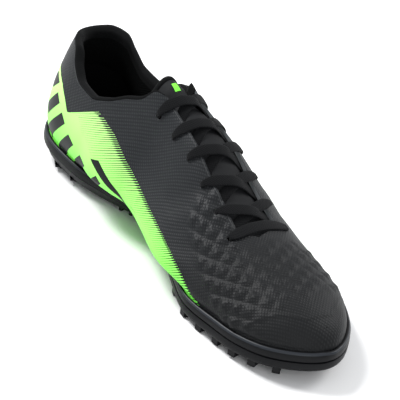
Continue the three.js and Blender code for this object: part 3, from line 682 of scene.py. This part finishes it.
def lining_piece():
    mesh = Mesh()
    at = between(0, THROAT_START, LINING_STATIONS)
    under = WALL + 3 * CLEARANCE
    back = under + LINING_THICKNESS
    corners = [
        (LINING_DEPTH, under),
        (LINING_DEPTH / 2, under),
        (2, under),
        (-CLEARANCE, under),
        (-CLEARANCE, 0.2 * WALL),
        (-0.6 * BINDING_HEIGHT, 0),
        (-BINDING_HEIGHT, 0.3 * back),
        (-BINDING_HEIGHT, 0.6 * back),
        (-0.8 * BINDING_HEIGHT, 0.85 * back),
        (-CLEARANCE, back - 0.2),
        (0.25 * LINING_DEPTH, back + 0.4),
        (LINING_DEPTH / 2, back + 0.4),
        (LINING_DEPTH, under + 1),
    ]
    weights = smooth_profile(corners, LINING_SIDES)
    for side in (-1, 1):
        reach = last_point(at, side * edge_around(at, side))[:, 2] - floor_height(at) - CLEARANCE
        stand = 1 - 0.8 * smoothstep(at, THROAT_START - 0.04, THROAT_START - 0.005)
        columns = []
        for down, inset in corners:
            rise = reach - (down if down > 0 else down * stand)
            columns.append(last_point(at, side * around_at_rise(at, rise), inset))
        rings = np.einsum("pc,acx->apx", weights, np.stack(columns, axis=1))
        s = np.broadcast_to((at * SOLE_LENGTH)[:, None], rings.shape[:2])
        v = np.broadcast_to(weights @ np.array([c[0] + c[1] for c in corners]), rings.shape[:2])
        depth = weights @ np.array([c[0] for c in corners])
        slots = np.broadcast_to((depth < 0.5).astype(int), (len(at) - 1, LINING_SIDES))
        mesh.grid(rings, closed=True, flat=np.stack([s, v], -1), slot=slots, flip=side < 0)
        end = [mesh.count - LINING_SIDES + i for i in range(LINING_SIDES)]
        mesh.faces.append(end if side > 0 else end[::-1])
        mesh.slots.append(1)
    materials = [mesh_cloth.material, binding_cloth.material]
    name, replaced = "padded_collar_lining", ["collar_lining"]
    obj = mesh.piece(name, materials, "lining", replaced, sharp=60, merge=2e-5)


TONGUE_THICKNESS = 4
TONGUE_ARC = 0.58
TONGUE_TOP = 0.308
TONGUE_FOOT = 0.73
TONGUE_DROP = 1.6
TONGUE_SAG = 4.5
TONGUE_HALF = 45
TONGUE_CORNER = 16
TONGUE_STATIONS = 150
TONGUE_COLUMNS = 90
TONGUE_FULL = 0.45
BOUND_RADIUS = 2.3
LABEL_SPAN = (0.34, 0.362)
LABEL_HALF = 0.1


def tongue_place(at, across, depth):
    """A point of the tongue: across from -1 to 1, depth from 0 at its face to 1 at its back."""
    arc = TONGUE_ARC * (0.8 + 0.2 * smoothstep(at, TONGUE_TOP, TONGUE_FULL))
    lined = 1 - smoothstep(at, THROAT_START, THROAT_START + 0.07)
    under = smoothstep(at, THROAT_START, THROAT_START + 0.05) * smoothstep(np.abs(across), 0.3, 0.5)
    inset = WALL + 3 * CLEARANCE + (LINING_THICKNESS + 5 * CLEARANCE) * lined + TONGUE_DROP * under
    around = arc * across
    around = np.where(np.abs(around) < 1e-6, OFF_RIDGE, around)
    thick = TONGUE_THICKNESS * (1 - 0.55 * np.abs(across) ** 8)
    inset = inset + TONGUE_SAG * (1 - smoothstep(at, TONGUE_TOP, TONGUE_TOP + 0.05)) * (1 - across**2)
    return last_point(at, around, inset + depth * thick - 0.15 * (1 - lined))


def tongue_width(at):
    """The tongue's width, rounded in at its top corners."""
    corner = np.clip((at - TONGUE_TOP) * SOLE_LENGTH / TONGUE_CORNER, 0, 1)
    return np.sqrt(1 - 0.16 * (1 - corner) ** 2)


def tongue_piece():
    mesh = Mesh()
    size = (TONGUE_STATIONS, TONGUE_COLUMNS)
    at = np.linspace(TONGUE_TOP, TONGUE_FOOT, TONGUE_STATIONS)[:, None]
    across = np.linspace(-1, 1, TONGUE_COLUMNS)[None, :]
    taper = np.sqrt(np.clip((at - TONGUE_TOP) * SOLE_LENGTH / 3, 0.02, 1))
    width = tongue_width(at)
    at_grid = np.broadcast_to(at, size)
    face = tongue_place(at_grid, across * width, (1 - taper) * 0.5)
    back = tongue_place(at_grid, across * width, 0.5 + taper * 0.5)
    flat = np.stack([at_grid * SOLE_LENGTH, np.broadcast_to(across * TONGUE_HALF, size)], -1)
    rows = np.concatenate([face, back[:, ::-1]], axis=1)
    mesh.grid(rows, closed=True, flat=np.concatenate([flat, flat[:, ::-1]], axis=1))
    cap = list(range(2 * TONGUE_COLUMNS))
    last = (TONGUE_STATIONS - 1) * len(cap)
    mesh.faces += [cap, [last + i for i in cap][::-1]]
    mesh.slots += [0, 0]
    tongue = [tongue_cloth.material]
    obj = mesh.piece("padded_tongue", tongue, "tongue", ["tongue"], sharp=60, merge=1e-6)
    tongue_edge()
    tongue_emblem()


def tongue_edge():
    """Bound edge along the tongue's top and upper sides."""
    up = np.linspace(TONGUE_FULL, TONGUE_TOP + 0.004, 50)
    edge_at = np.concatenate([up, np.full(60, TONGUE_TOP + 0.002), up[::-1]])
    edge_across = np.concatenate([np.full(50, -1.0), np.linspace(-1, 1, 60), np.full(50, 1.0)])
    path = tongue_place(edge_at, edge_across * tongue_width(edge_at), 0.5)
    tube = Mesh()
    tube_along(tube, smooth_path(path, 3), BOUND_RADIUS, 14)
    tube.piece("tongue_binding", [binding_cloth.material], "tongue", sharp=60)


def tongue_emblem():
    """A plain woven label."""
    label = Mesh()
    size = (8, 16)
    at = np.broadcast_to(np.linspace(*LABEL_SPAN, size[0])[:, None], size)
    across = np.linspace(-LABEL_HALF, LABEL_HALF, size[1])[None, :]
    top = tongue_place(at, across, -0.12)
    flat = np.stack([at * SOLE_LENGTH, np.broadcast_to(across * TONGUE_HALF, size)], -1)
    label.grid(top, flat=flat)
    label.piece("tongue_label", [label_cloth.material], "tongue")


def smooth_path(path, rounds):
    path = np.array(path)
    for _ in range(rounds):
        path[1:-1] = (path[:-2] + 2 * path[1:-1] + path[2:]) / 4
    return path


def length_along(path):
    return np.concatenate([[0], np.cumsum(np.linalg.norm(np.diff(path, axis=0), axis=1))])


def tube_along(mesh, path, radius, sides):
    """A round tube along a path, closed at its ends."""
    along = unit(np.gradient(path, axis=0))
    beside = unit(np.cross(along, [0.0, 0.0, 1.0]))
    over = np.cross(beside, along)
    turn = 2 * np.pi * np.arange(sides) / sides
    circle = np.cos(turn)[None, :, None] * beside[:, None] + np.sin(turn)[None, :, None] * over[:, None]
    rings = path[:, None] + radius * circle
    length = length_along(path)[:, None]
    flat = np.stack(np.broadcast_arrays(length, radius * turn[None, :]), -1)
    mesh.grid(rings, closed=True, flat=flat)
    first = mesh.count - len(path) * sides
    mesh.faces += [[first + i for i in range(sides)], [mesh.count - 1 - i for i in range(sides)]]
    mesh.slots += [0, 0]


def insole_piece():
    mesh = Mesh()
    at = between(0, 1, 160)
    rings = [
        insole_loop(at, 0),
        insole_loop(at, INSOLE_THICKNESS - 0.8),
        insole_loop(at, INSOLE_THICKNESS - 0.2, INSOLE_INSET + 0.3),
        insole_loop(at, INSOLE_THICKNESS, INSOLE_INSET + 1),
    ]
    mesh.grid(np.stack(rings), closed=True, flip=True)
    count = len(rings[0])
    fill_loop(mesh, 0, len(at), count, True)
    fill_loop(mesh, 3 * count, len(at), count, False)
    obj = mesh.piece("sock_liner", [insole_cloth.material], "insole", ["insole"], merge=1e-6)


def fill_loop(mesh, base, stations, count, flip):
    for i in range(stations - 1):
        face = [base + k for k in (i, i + 1, count - i - 1, (count - i) % count)]
        mesh.faces.append(face[::-1] if flip else face)
        mesh.slots.append(0)


STEP_DEPTH = 1
GROOVE_HALF = 0.9
RIM_ROUND = 1.5
FOOT_ROUND = 1.4
FOOT_FLAT = 5
# The ring of faces at the rim's top edge, painted paler: partly a glue line, partly a painted highlight on
# the rim's rounding
RIM_RING = 13


# Rings up the sole's side: how far each is drawn in, its share of the undercut, and its height over a base
SOLE_RINGS = [
    (FOOT_FLAT, 1, "plate", 0),
    (2.4 * FOOT_ROUND, 1, "plate", 0),
    (FOOT_ROUND, 1, "plate", 0.35),
    (0.4 * FOOT_ROUND, 1, "plate", 0.9),
    (0.1 * FOOT_ROUND, 0.95, "plate", 1.7),
    (0, 0.8, "plate", 2 * FOOT_ROUND),
    (0, 0.3, "middle", -GROOVE_HALF),
    (0.15, 0.25, "middle", -0.6),
    (STEP_DEPTH, 0.1, "middle", -0.45),
    (STEP_DEPTH, 0, "middle", 0.25),
    (0.35 * STEP_DEPTH, 0, "middle", 0.5),
    (0.25 * STEP_DEPTH, 0, "middle", GROOVE_HALF),
    (0.4 * STEP_DEPTH, 0, "rim", -2.2),
    (0.55 * STEP_DEPTH, 0, "rim", -1.3),
    (0.95 * STEP_DEPTH, 0, "rim", -0.5),
    (RIM_ROUND, 0, "rim", -0.1),
    (RIM_ROUND + 0.5, 0, "rim", 0),
    (CUP_WALL - CLEARANCE, 0, "rim", -0.1),
    (CUP_WALL - CLEARANCE, 0, "floor", 0.5 * CUP_DEPTH),
    (CUP_WALL - CLEARANCE, 0, "floor", 0),
]


def sole_height(base, rise):
    """A height for a loop, from the sole's share of length and the place over the ground."""
    return {
        "plate": lambda share, place: plate_bottom(place) + rise,
        "middle": lambda share, place: 0.45 * plate_bottom(share) + 0.55 * sole_rim(share) + rise,
        "rim": lambda share, place: sole_rim(share) + rise,
        "floor": lambda share, place: floor_height(share) + rise,
    }[base]


def sole_rim(share):
    return floor_height(share) + CUP_DEPTH


def sole_piece():
    mesh = Mesh()
    at = between(0, 1, SOLE_STATIONS)
    rings = []
    for inset, undercut, base, rise in SOLE_RINGS:
        drawn_in = inset - CUP_WALL + undercut * side_undercut(at)
        rings.append(loop(at, drawn_in, sole_height(base, rise)))
    count = len(rings[0])
    slots = np.zeros((len(rings) - 1, count), int)
    # The rim's top ring takes the paler finish, partly a glue line and partly a painted highlight
    slots[RIM_RING : RIM_RING + 2] = 1
    mesh.grid(np.stack(rings), closed=True, slot=slots, flip=True)
    fill_loop(mesh, 0, len(at), count, True)
    fill_loop(mesh, (len(rings) - 1) * count, len(at), count, False)
    materials = [black_rubber.material, rim_glue_line_and_highlight.material]
    mesh.piece("cup_sole", materials, "outsole", ["outsole"], sharp=50, merge=1e-6)


LUG_PITCH = 17
LUG_ROW_PITCH = 15.4
LUG_ROW_SHIFT = -7.6
LUG_ARM_LENGTH = 7
LUG_ARM_WIDTH = 4.2
LUG_EDGE_MARGIN = 10
LUG_END_MARGIN = 13
LUG_ROOT = 0.8
EDGE_BARS = 7
EDGE_BAR_START = 0.62
EDGE_BAR_END = 0.945
EDGE_BAR_LENGTH = 11
EDGE_BAR_WIDTH = 4.8
BAR_INSET = 1
BAR_CROWDING = 0.85
BAR_ROOT = 2.6
RIB_COUNT = 9
RIB_START = 0.33
RIB_END = 0.55
RIB_LENGTH = 11
RIB_WIDTH = 2.4
RIB_HEIGHT = 2
PANEL_STATIONS = 180
PANEL_COLUMNS = 8
PANEL = table(
    "at inner outer",
    (0.06, -0.25, 0.2),
    (0.09, -0.55, 0.45),
    (0.15, -0.6, 0.6),
    (0.235, -0.52, 0.58),
    (0.294, -0.46, 0.5),
    (0.33, -0.42, 0.3),
    (0.395, -0.3, 0.27),
    (0.451, -0.26, 0.53),
    (0.507, -0.31, 0.69),
    (0.566, -0.44, 0.79),
    (0.604, -0.52, 0.82),
    (0.648, -0.62, 0.76),
    (0.69, -0.6, 0.55),
    (0.725, -0.55, 0.1),
    (0.756, -0.39, 0.09),
    (0.794, -0.16, 0.19),
    (0.827, -0.02, 0.21),
    (0.87, -0.08, 0.22),
)


def sole_half(at):
    return half_width(at, -CUP_WALL) - side_undercut(at)


def sole_middle(at):
    return curve(OUTLINE, at, "drift")


def lug_centres():
    rows = math.ceil(BALL_WIDTH / LUG_ROW_PITCH / 2) + 1
    for row in range(-rows, rows + 1):
        x = 0.75 * LUG_PITCH + (row * LUG_ROW_SHIFT) % LUG_PITCH
        y = row * LUG_ROW_PITCH
        while x < SOLE_LENGTH:
            at = x / SOLE_LENGTH
            room = sole_half(at) - abs(y - sole_middle(at))
            margin = LUG_EDGE_MARGIN + (EDGE_BAR_LENGTH - BAR_INSET if at > EDGE_BAR_START else 0)
            if room > margin and min(x, SOLE_LENGTH - x) > LUG_END_MARGIN:
                yield x, y
            x += LUG_PITCH


def star_outline(x, y, grow=0.0):
    width, length = LUG_ARM_WIDTH + 2 * grow, LUG_ARM_LENGTH + grow
    notch = width / 2 / math.sin(math.radians(60))
    outline = []
    for arm in range(3):
        turn = math.radians(120 * arm)
        back = turn - math.radians(60)
        along = np.array([math.cos(turn), math.sin(turn)])
        beside = np.array([-math.sin(turn), math.cos(turn)])
        outline.append(np.array([x + notch * math.cos(back), y + notch * math.sin(back)]))
        outline += [np.array([x, y]) + along * length + side * beside * width / 2 for side in (-1, 1)]
    return np.array(outline)


def bar_outline(at, side, length, width, grow=0.0):
    edge = lambda share: np.array([share * SOLE_LENGTH, sole_middle(share) + side * sole_half(share)])
    along = edge(at + 0.01) - edge(at - 0.01)
    along = along / np.linalg.norm(along)
    inward = np.array([side * along[1], -side * along[0]])
    half = width / 2 + grow
    outer, inner = BAR_INSET - grow, length + grow
    corners = [(-half, outer), (half, outer), (half, inner), (-half, inner)]
    return np.array([edge(at) + along * a + inward * d for a, d in corners])


def stud(mesh, outlines, depths):
    """A stud under the sole: stacked outlines, each at a depth below the plate, the last its tip."""
    count = len(outlines[0])
    rings = []
    for outline, depth in zip(outlines, depths):
        rings.append(np.column_stack([outline, plate_bottom(outline[:, 0] / SOLE_LENGTH) - depth]))
    x, y = outlines[0].T
    flip = np.sum(x * np.roll(y, -1) - y * np.roll(x, -1)) > 0
    mesh.grid(np.stack(rings), closed=True, flip=flip)
    tip = [mesh.count - count + i for i in range(count)]
    mesh.faces.append(tip[::-1] if flip else tip)
    mesh.slots.append(0)


def in_panel(x, y):
    at = x / SOLE_LENGTH
    share = (y - sole_middle(at)) / sole_half(at)
    within = PANEL["at"][0] < at < PANEL["at"][-1]
    return within and curve(PANEL, at, "inner") < share < curve(PANEL, at, "outer")


def lug(mesh, x, y):
    """A three-armed lug on two low steps."""
    for grow, depth in ((3.4, 0.7), (1.7, 1.5)):
        step = [star_outline(x, y, more) for more in (grow, grow, grow - 0.3)]
        stud(mesh, step, [-LUG_ROOT, depth - 0.3, depth])
    arms = [star_outline(x, y, more) for more in (0.3, 0, -0.4)]
    stud(mesh, arms, [-LUG_ROOT, LUG_HEIGHT - 0.4, LUG_HEIGHT])


def side_bars(mesh, stations, length, width, grows, height, tip):
    for at in stations:
        for side in (-1, 1):
            rings = [bar_outline(at, side, length, width, grow) for grow in grows]
            stud(mesh, rings, [-BAR_ROOT, height - tip, height])


def tread_pieces():
    black, green = Mesh(), Mesh()
    for x, y in lug_centres():
        lug(green if in_panel(x, y) else black, x, y)
    crowded = np.linspace(0, 1, EDGE_BARS) ** BAR_CROWDING
    edge_at = EDGE_BAR_START + (EDGE_BAR_END - EDGE_BAR_START) * crowded
    side_bars(black, edge_at, EDGE_BAR_LENGTH, EDGE_BAR_WIDTH, (0.2, 0, -0.4), LUG_HEIGHT, 0.4)
    rib_at = np.linspace(RIB_START, RIB_END, RIB_COUNT)
    side_bars(black, rib_at, RIB_LENGTH, RIB_WIDTH, (0.1, 0, -0.3), RIB_HEIGHT, 0.3)
    black.piece("tread_black", [black_rubber.material], "outsole", sharp=30)
    panel_plate(green)
    green_parts = [green_rubber.material]
    green.piece("tread_green", green_parts, "outsole_panel", ["outsole_panel"], sharp=30)


def panel_plate(mesh):
    """The green plate between the lugs, its two edges drawn up into the sole."""
    at = np.linspace(PANEL["at"][0], PANEL["at"][-1], PANEL_STATIONS)[:, None]
    inner, outer = [np.interp(at, PANEL["at"], PANEL[side]) for side in ("inner", "outer")]
    across = np.linspace(0, 1, PANEL_COLUMNS)[None, :]
    y = sole_middle(at) + sole_half(at) * (inner + (outer - inner) * across)
    x = np.broadcast_to(at * SOLE_LENGTH, y.shape)
    edges = np.where((across == 0) | (across == 1), 0.6, 0)
    z = plate_bottom(np.broadcast_to(at, y.shape)) - 0.35 + edges
    mesh.grid(np.stack([x, y, z], -1), flip=True)


LACE_WIDTH = 7.0
LACE_THICKNESS = 1.1
EYELET_SQUEEZE = 0.5
# Places along a crossing band: share of the way, width and height over the surface, down to its dive
BAND = [
    (0.0, 0.5, 0.8),
    (0.05, 0.6, 1.1),
    (0.13, 0.8, 1.0),
    (0.24, 1.0, 0.7),
    (0.38, 1.0, 0.3),
    (0.52, 1.0, 0.0),
    (0.66, 1.0, -0.4),
    (0.8, 1.0, -1.2),
    (0.92, 1.0, -2.3),
    (1.0, 1.0, -2.9),
]
# Where a band dives under the other facing, as a share of the way to the next row
LACE_REACH = 0.72
# The near bands lie on the far ones
NEAR_OVER = 1.5
LACE_SIDES = 20
LACE_STEP = 0.7
LACE_UNDER = -WALL - 1.1


def lace_knots():
    """The lace from one top eyelet down to the bar and back up: point, sideways direction, width."""
    pitch = (LAST_EYELET - FIRST_EYELET) / (EYELET_ROWS - 1)

    def place(at, around, lift):
        at, around = np.array([at]), np.array([around if abs(around) > 1e-6 else 1e-6])
        normal = normal_at(at, around)
        return (last_point(at, around) + normal * lift)[0], normal[0]

    def knot(at, around, lift, width, travel):
        point, normal = place(at, around, lift)
        beside = unit(np.cross(normal, travel))
        return point, beside if beside[0] > 0 else -beside, width

    def rise_through(at, around, travel):
        """Up through an eyelet from inside."""
        side = np.sign(around)
        return [
            knot(at, around - side * 0.04, -WALL - 1.2, 0.8, travel),
            knot(at, around - side * 0.012, LACE_UNDER, EYELET_SQUEEZE, travel),
            knot(at, around, -WALL / 2, EYELET_SQUEEZE, travel),
        ]

    def half_lace(side):
        knots = []
        for row in range(EYELET_ROWS):
            at, around = eyelet_place(row, side)
            dive = at + LACE_REACH * pitch
            edge = -side * edge_around(dive, -side)
            travel = place(dive, edge, 0)[0] - place(at, around, 0)[0]
            knots += rise_through(at, around, travel)
            if row == EYELET_ROWS - 1:
                return knots
            for share, width, lift in BAND:
                over = NEAR_OVER * np.exp(-(((share - 0.6) / 0.22) ** 2)) if side < 0 else 0
                where = around + (edge - around) * share
                knots.append(knot(at + (dive - at) * share, where, lift + over, width, travel))
            far_at, far_around = eyelet_place(row + 1, -side)
            for share in (0.3, 0.6):
                where = edge + (far_around - edge) * share
                knots.append(knot(dive + (far_at - dive) * share, where, LACE_UNDER, 1.0, travel))
            side = -side

    first = half_lace(-1)
    travel = np.array([0.0, 1.0, 0.0])
    bar = []
    for share in (1.0, 0.9, 0.75, 0.5, 0.25, 0.0, -0.25, -0.5, -0.75, -0.9, -1.0):
        width = EYELET_SQUEEZE + 0.5 * (1 - abs(share) ** 6)
        at, around = eyelet_place(EYELET_ROWS - 1, 1 if share > 0 else -1)
        bar.append(knot(at, around * abs(share), 1.0, width, travel))
    return first + bar + half_lace(1)[::-1]


def lace_path():
    knots = lace_knots()
    points = np.array([knot[0] for knot in knots])
    length = length_along(points)
    columns = np.column_stack([points, [knot[1] for knot in knots], [knot[2] for knot in knots]])
    rows = {"at": length}
    rows.update({str(k): columns[:, k] for k in range(7)})
    fine = np.linspace(0, length[-1], int(length[-1] / LACE_STEP))
    values = np.stack([curve(rows, fine, str(k)) for k in range(7)], -1)
    return smooth_path(values[:, :3], 2), smooth_path(values[:, 3:6], 4), values[:, 6]


def lace_piece():
    path, beside, width = lace_path()
    along = unit(np.gradient(path, axis=0))
    beside = unit(beside - along * np.sum(along * beside, axis=1, keepdims=True))
    over = np.cross(along, beside)
    turn = 2 * np.pi * np.arange(LACE_SIDES) / LACE_SIDES
    c = np.sign(np.cos(turn)) * np.abs(np.cos(turn)) ** 0.5
    d = np.sign(np.sin(turn)) * np.abs(np.sin(turn)) ** 0.75
    half = LACE_WIDTH / 2 * width
    thick = LACE_THICKNESS / 2 * (1 + 0.9 * (1 - width))
    rings = path[:, None] + half[:, None, None] * c[None, :, None] * beside[:, None]
    rings = rings + thick[:, None, None] * d[None, :, None] * over[:, None]
    flat = np.stack(np.broadcast_arrays(length_along(path)[:, None], half[:, None] * c[None, :]), -1)
    mesh = Mesh()
    mesh.grid(rings, closed=True, flat=flat)
    mesh.faces += [list(range(LACE_SIDES)), [mesh.count - 1 - i for i in range(LACE_SIDES)]]
    mesh.slots += [0, 0]
    nodes = ["lace_bar"] + ["lace_crossing_%d" % i for i in range(1, EYELET_ROWS)]
    mesh.piece("flat_lace", [lace_cloth.material], "lace", nodes, sharp=60)


# Prints, as places (length along the boot, height above the sole's inner floor). Their borders were picked
# in the photo and turned into places by a fitted camera.
PRINT_LIFT = 0.1
BARS_LIFT = 1.9 * PRINT_LIFT
PRINT_FOOT = 4.5
# The plain field's upper border, from the heel's back along the boot
FIELD_TOP = table(
    "at h",
    (0, 53),
    (10, 52.5),
    (18, 51.3),
    (27, 48),
    (35, 42.4),
    (41.5, 36.4),
    (53.5, 40),
    (62, 33.5),
    (74, 30.5),
    (88, 28.3),
    (101, 25.2),
    (112, 22.8),
    (126, 20.2),
    (139, 21),
    (152, 20),
    (169, 16.6),
    (182, 11.5),
    (196, 6.6),
    (209, 4.6),
)
# The tapered stripes: where they leave the field and where they end
STRIPES = table(
    "at s h end_s end_h",
    (0, 41.5, 35.5, 68.4, 51.1),
    (0.03, 50, 39, 73.5, 50.6),
    (0.12, 60, 33.5, 87.6, 46.6),
    (0.2, 72, 30, 97, 42.4),
    (0.27, 86, 27.7, 106.3, 38),
    (0.35, 98, 25.4, 115.8, 34),
    (0.42, 111, 22.6, 127.6, 31),
    (0.5, 123, 20.5, 139.9, 28.8),
    (0.56, 137, 20.8, 149.6, 27.3),
    (0.64, 151, 20, 162, 25),
    (0.75, 168, 16.8, 175.8, 21.6),
    (0.85, 181, 12, 189.4, 16.8),
    (0.94, 195, 6.8, 202.2, 10.8),
    (1, 208, 4, 212, 5),
)
STRIPE_COUNT = 84
STRIPE_STEPS = 12
# Dark bars on the heel: top corners, then how far they run down and back
BARS = [
    ((13.5, 49.2), (23, 46.6), (-9, -9.5)),
    ((25.7, 41.2), (31.9, 37), (-12, -15.3)),
    ((37.2, 33.4), (43.4, 29), (-19, -23)),
    ((50.2, 25.6), (58.6, 23), (-16, -19)),
    ((68, 21.8), (78, 20.6), (-15, -16)),
    ((92, 22.5), (97, 19.6), (-15, -15)),
]
WEDGE = ((81.5, 28), (88.2, 30.4), (124, 14.5))


def printed(s, h, side, lift):
    at = np.clip(s / SOLE_LENGTH, 0, 1)
    around = side * np.clip(around_at_rise(at, h), 1e-6, 0.999)
    return last_point(at, around) + normal_at(np.clip(at, 0.002, 1), around) * lift


def print_pieces():
    field, dark = Mesh(), Mesh()
    for side in (-1, 1):

        def patch(mesh, places, lift):
            s, h = places[..., 0], np.maximum(places[..., 1], PRINT_FOOT)
            flat = np.stack([s, h], -1)
            mesh.grid(printed(s, h, side, lift), flat=flat, flip=side < 0)

        s = np.concatenate([np.linspace(0, 12, 24)[:-1], np.linspace(12, 209, 240)])[:, None]
        top = np.interp(s, FIELD_TOP["at"], FIELD_TOP["h"])
        h = PRINT_FOOT + (np.maximum(top, PRINT_FOOT + 0.01) - PRINT_FOOT) * np.linspace(0, 1, 40)[None, :]
        patch(field, np.stack(np.broadcast_arrays(s, h), -1), PRINT_LIFT)
        w, t = np.linspace(0, 1, 9)[None, :, None], np.linspace(0, 1, 30)[:, None, None]
        for left, right, run in BARS:
            head = np.array(left) + (np.array(right) - np.array(left)) * w
            place = head + np.array(run) * t
            place[..., 0] = np.maximum(place[..., 0], 0)
            patch(dark, place[:, ::-1], BARS_LIFT)
        left, right, tip = [np.array(corner, float) for corner in WEDGE]
        head = left + (right - left) * w
        bow = 1.2 * w * np.sin(np.pi * t) * np.array([0.5, 1.0])
        patch(dark, (head + (tip - head) * t + bow)[:, ::-1], BARS_LIFT)
        stripes(field, side)
    field.piece("print_field", [green_print.material], "upper")
    dark.piece("print_bars", [dark_print.material], "upper")


def stripes(mesh, side):
    """Fine rows that leave the printed field and grow thin towards their ends."""
    shares = np.linspace(0, 1, STRIPE_COUNT)
    columns = ("s", "h", "end_s", "end_h")
    rows = np.stack([np.interp(shares, STRIPES["at"], STRIPES[key]) for key in columns], -1)
    half_gap = np.gradient(rows, axis=0) / 2
    for row, gap in zip(rows, half_gap):
        t = np.linspace(0, 1, STRIPE_STEPS)[:, None]
        middle = row[:2] + (row[2:] - row[:2]) * t
        thin = (0.98 - 0.42 * t) * np.where(t > 0.9, 0.35, 1)
        half = (gap[:2] + (gap[2:] - gap[:2]) * t) * thin
        place = np.stack([middle - half, middle + half], axis=1)
        place[..., 1] = np.maximum(place[..., 1], PRINT_FOOT)
        points = printed(place[..., 0], place[..., 1], side, PRINT_LIFT)
        mesh.grid(points, flat=place, flip=side < 0)


EYELET_RADIUS = 2.1


def punch_eyelets(shell):
    """Cuts the eyelets. The shell isn't one closed surface, so the cut opens only two of the twelve."""
    holes = Mesh()
    for row in range(EYELET_ROWS):
        for side in (-1, 1):
            at, around = eyelet_place(row, side)
            centre = last_point(at, around, WALL / 2)
            normal = normal_at(at, around)
            axis = centre + normal * np.linspace(-5, 5, 4)[:, None]
            tube_along(holes, axis, EYELET_RADIUS, 24)
    mesh = bpy.data.meshes.new("holes")
    mesh.from_pydata(to_world(np.concatenate(holes.points)).tolist(), [], holes.faces)
    mesh.materials.append(cut_edge.material)
    cutter = bpy.data.objects.new("holes", mesh)
    bpy.context.scene.collection.objects.link(cutter)
    modifier = shell.modifiers.new("holes", "BOOLEAN")
    modifier.operation = "DIFFERENCE"
    modifier.solver = "EXACT"
    modifier.object = cutter
    bpy.context.view_layer.update()
    graph = bpy.context.evaluated_depsgraph_get()
    cut = bpy.data.meshes.new_from_object(shell.evaluated_get(graph))
    shell.modifiers.remove(modifier)
    shell.data = cut
    bpy.data.objects.remove(cutter)


def ribbon(mesh, places, side, half, lift):
    """A thin raised line over the upper through places (length, distance from the ridge)."""
    fine = np.linspace(0, len(places) - 1, 60)
    columns = [np.interp(fine, range(len(places)), column) for column in places.T]
    places = smooth_path(np.stack(columns, -1), 6)
    at = places[:, 0] / SOLE_LENGTH
    shares, arcs = arc_table(at, side)
    around = side * np.array([np.interp(abs(v), arc, shares) for v, arc in zip(places[:, 1], arcs)])
    around = np.where(np.abs(around) < 1e-4, side * 1e-4, around)
    normal = normal_at(at, around)
    path, _ = surface(at[:, None], around[:, None], lift)
    path = path[:, 0]
    beside = half * unit(np.cross(normal, np.gradient(path, axis=0)))
    section = [(-1, 0.3), (-0.5, 0), (0.5, 0), (1, 0.3)]
    mesh.grid(np.stack([path + beside * across - normal * down for across, down in section], axis=1))


SEAM_MARGIN = 0.022
SEAM_HALF = 0.35
SEAM_LIFT = 0.12


def seam_pieces():
    mesh = Mesh()
    for side in (-1, 1):
        edge_at = np.linspace(THROAT_START + 0.012, 0.7, 30)
        shares, arcs = arc_table(edge_at, side)
        beyond = edge_around(edge_at, side) + SEAM_MARGIN
        v = [np.interp(around, shares, arc) for around, arc in zip(beyond, arcs)]
        ribbon(mesh, np.stack([edge_at * SOLE_LENGTH, v], -1), side, SEAM_HALF, SEAM_LIFT)
    mesh.piece("facing_stitching", [thread.material], "upper")


shell = upper_piece()
punch_eyelets(shell)
seam_pieces()
lining_piece()
tongue_piece()
insole_piece()
sole_piece()
tread_pieces()
lace_piece()
print_pieces()

# Floor, lights and camera
FLOOR_HALF = 4
floor_mesh = bpy.data.meshes.new("floor")
corners = [(x * FLOOR_HALF, y * FLOOR_HALF, 0) for x, y in ((-1, -1), (1, -1), (1, 1), (-1, 1))]
floor_mesh.from_pydata(corners, [], [(0, 1, 2, 3)])
floor_mesh.materials.append(Finish("floor", "f4f4f4", 0.9).material)
floor = bpy.data.objects.new("floor", floor_mesh)
bpy.context.scene.collection.objects.link(floor)
floor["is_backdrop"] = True


def area_light(name, place, target, size, power):
    light = bpy.data.lights.new(name, "AREA")
    light.size = size
    light.energy = power
    obj = bpy.data.objects.new(name, light)
    obj.location = place
    obj.rotation_euler = (Vector(target) - Vector(place)).to_track_quat("-Z", "Y").to_euler()
    bpy.context.scene.collection.objects.link(obj)


area_light("key", (-0.9, -0.5, 1.3), (0.02, 0, 0.04), 0.5, 30)
area_light("fill", (1.2, -0.6, 0.8), (0, 0, 0.04), 0.9, 5.5)
area_light("back", (0.2, 1.4, 1.1), (0, 0, 0.04), 0.8, 16)
world = bpy.data.worlds.new("studio")
world.use_nodes = True
world.node_tree.nodes["Background"].inputs["Color"].default_value = (0.95, 0.97, 1, 1)
world.node_tree.nodes["Background"].inputs["Strength"].default_value = 0.55
bpy.context.scene.world = world
bpy.context.scene.view_settings.view_transform = "Standard"

# The photo's camera, from the fit
CAMERA_PLACE = Vector((0.7697, -0.7350, 0.6993))
CAMERA_AHEAD = Vector((-0.6143, 0.5855, -0.5291))
CAMERA_UP = Vector((-0.5159, 0.2094, 0.8307))
CAMERA_LENS = 186.4
camera = bpy.data.objects.new("camera", bpy.data.cameras.new("camera"))
camera.data.lens = CAMERA_LENS
camera.data.sensor_width = 36
ahead = CAMERA_AHEAD.normalized()
right = ahead.cross(CAMERA_UP).normalized()
up = right.cross(ahead)
turned = Matrix((right, up, -ahead)).transposed().to_4x4()
camera.matrix_world = Matrix.Translation(CAMERA_PLACE) @ turned
bpy.context.scene.collection.objects.link(camera)
bpy.context.scene.camera = camera

bpy.context.view_layer.update()
for bounds in (cad_bounds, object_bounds()):
    json.dumps([list(corner) for corner in bounds]) + "\n"
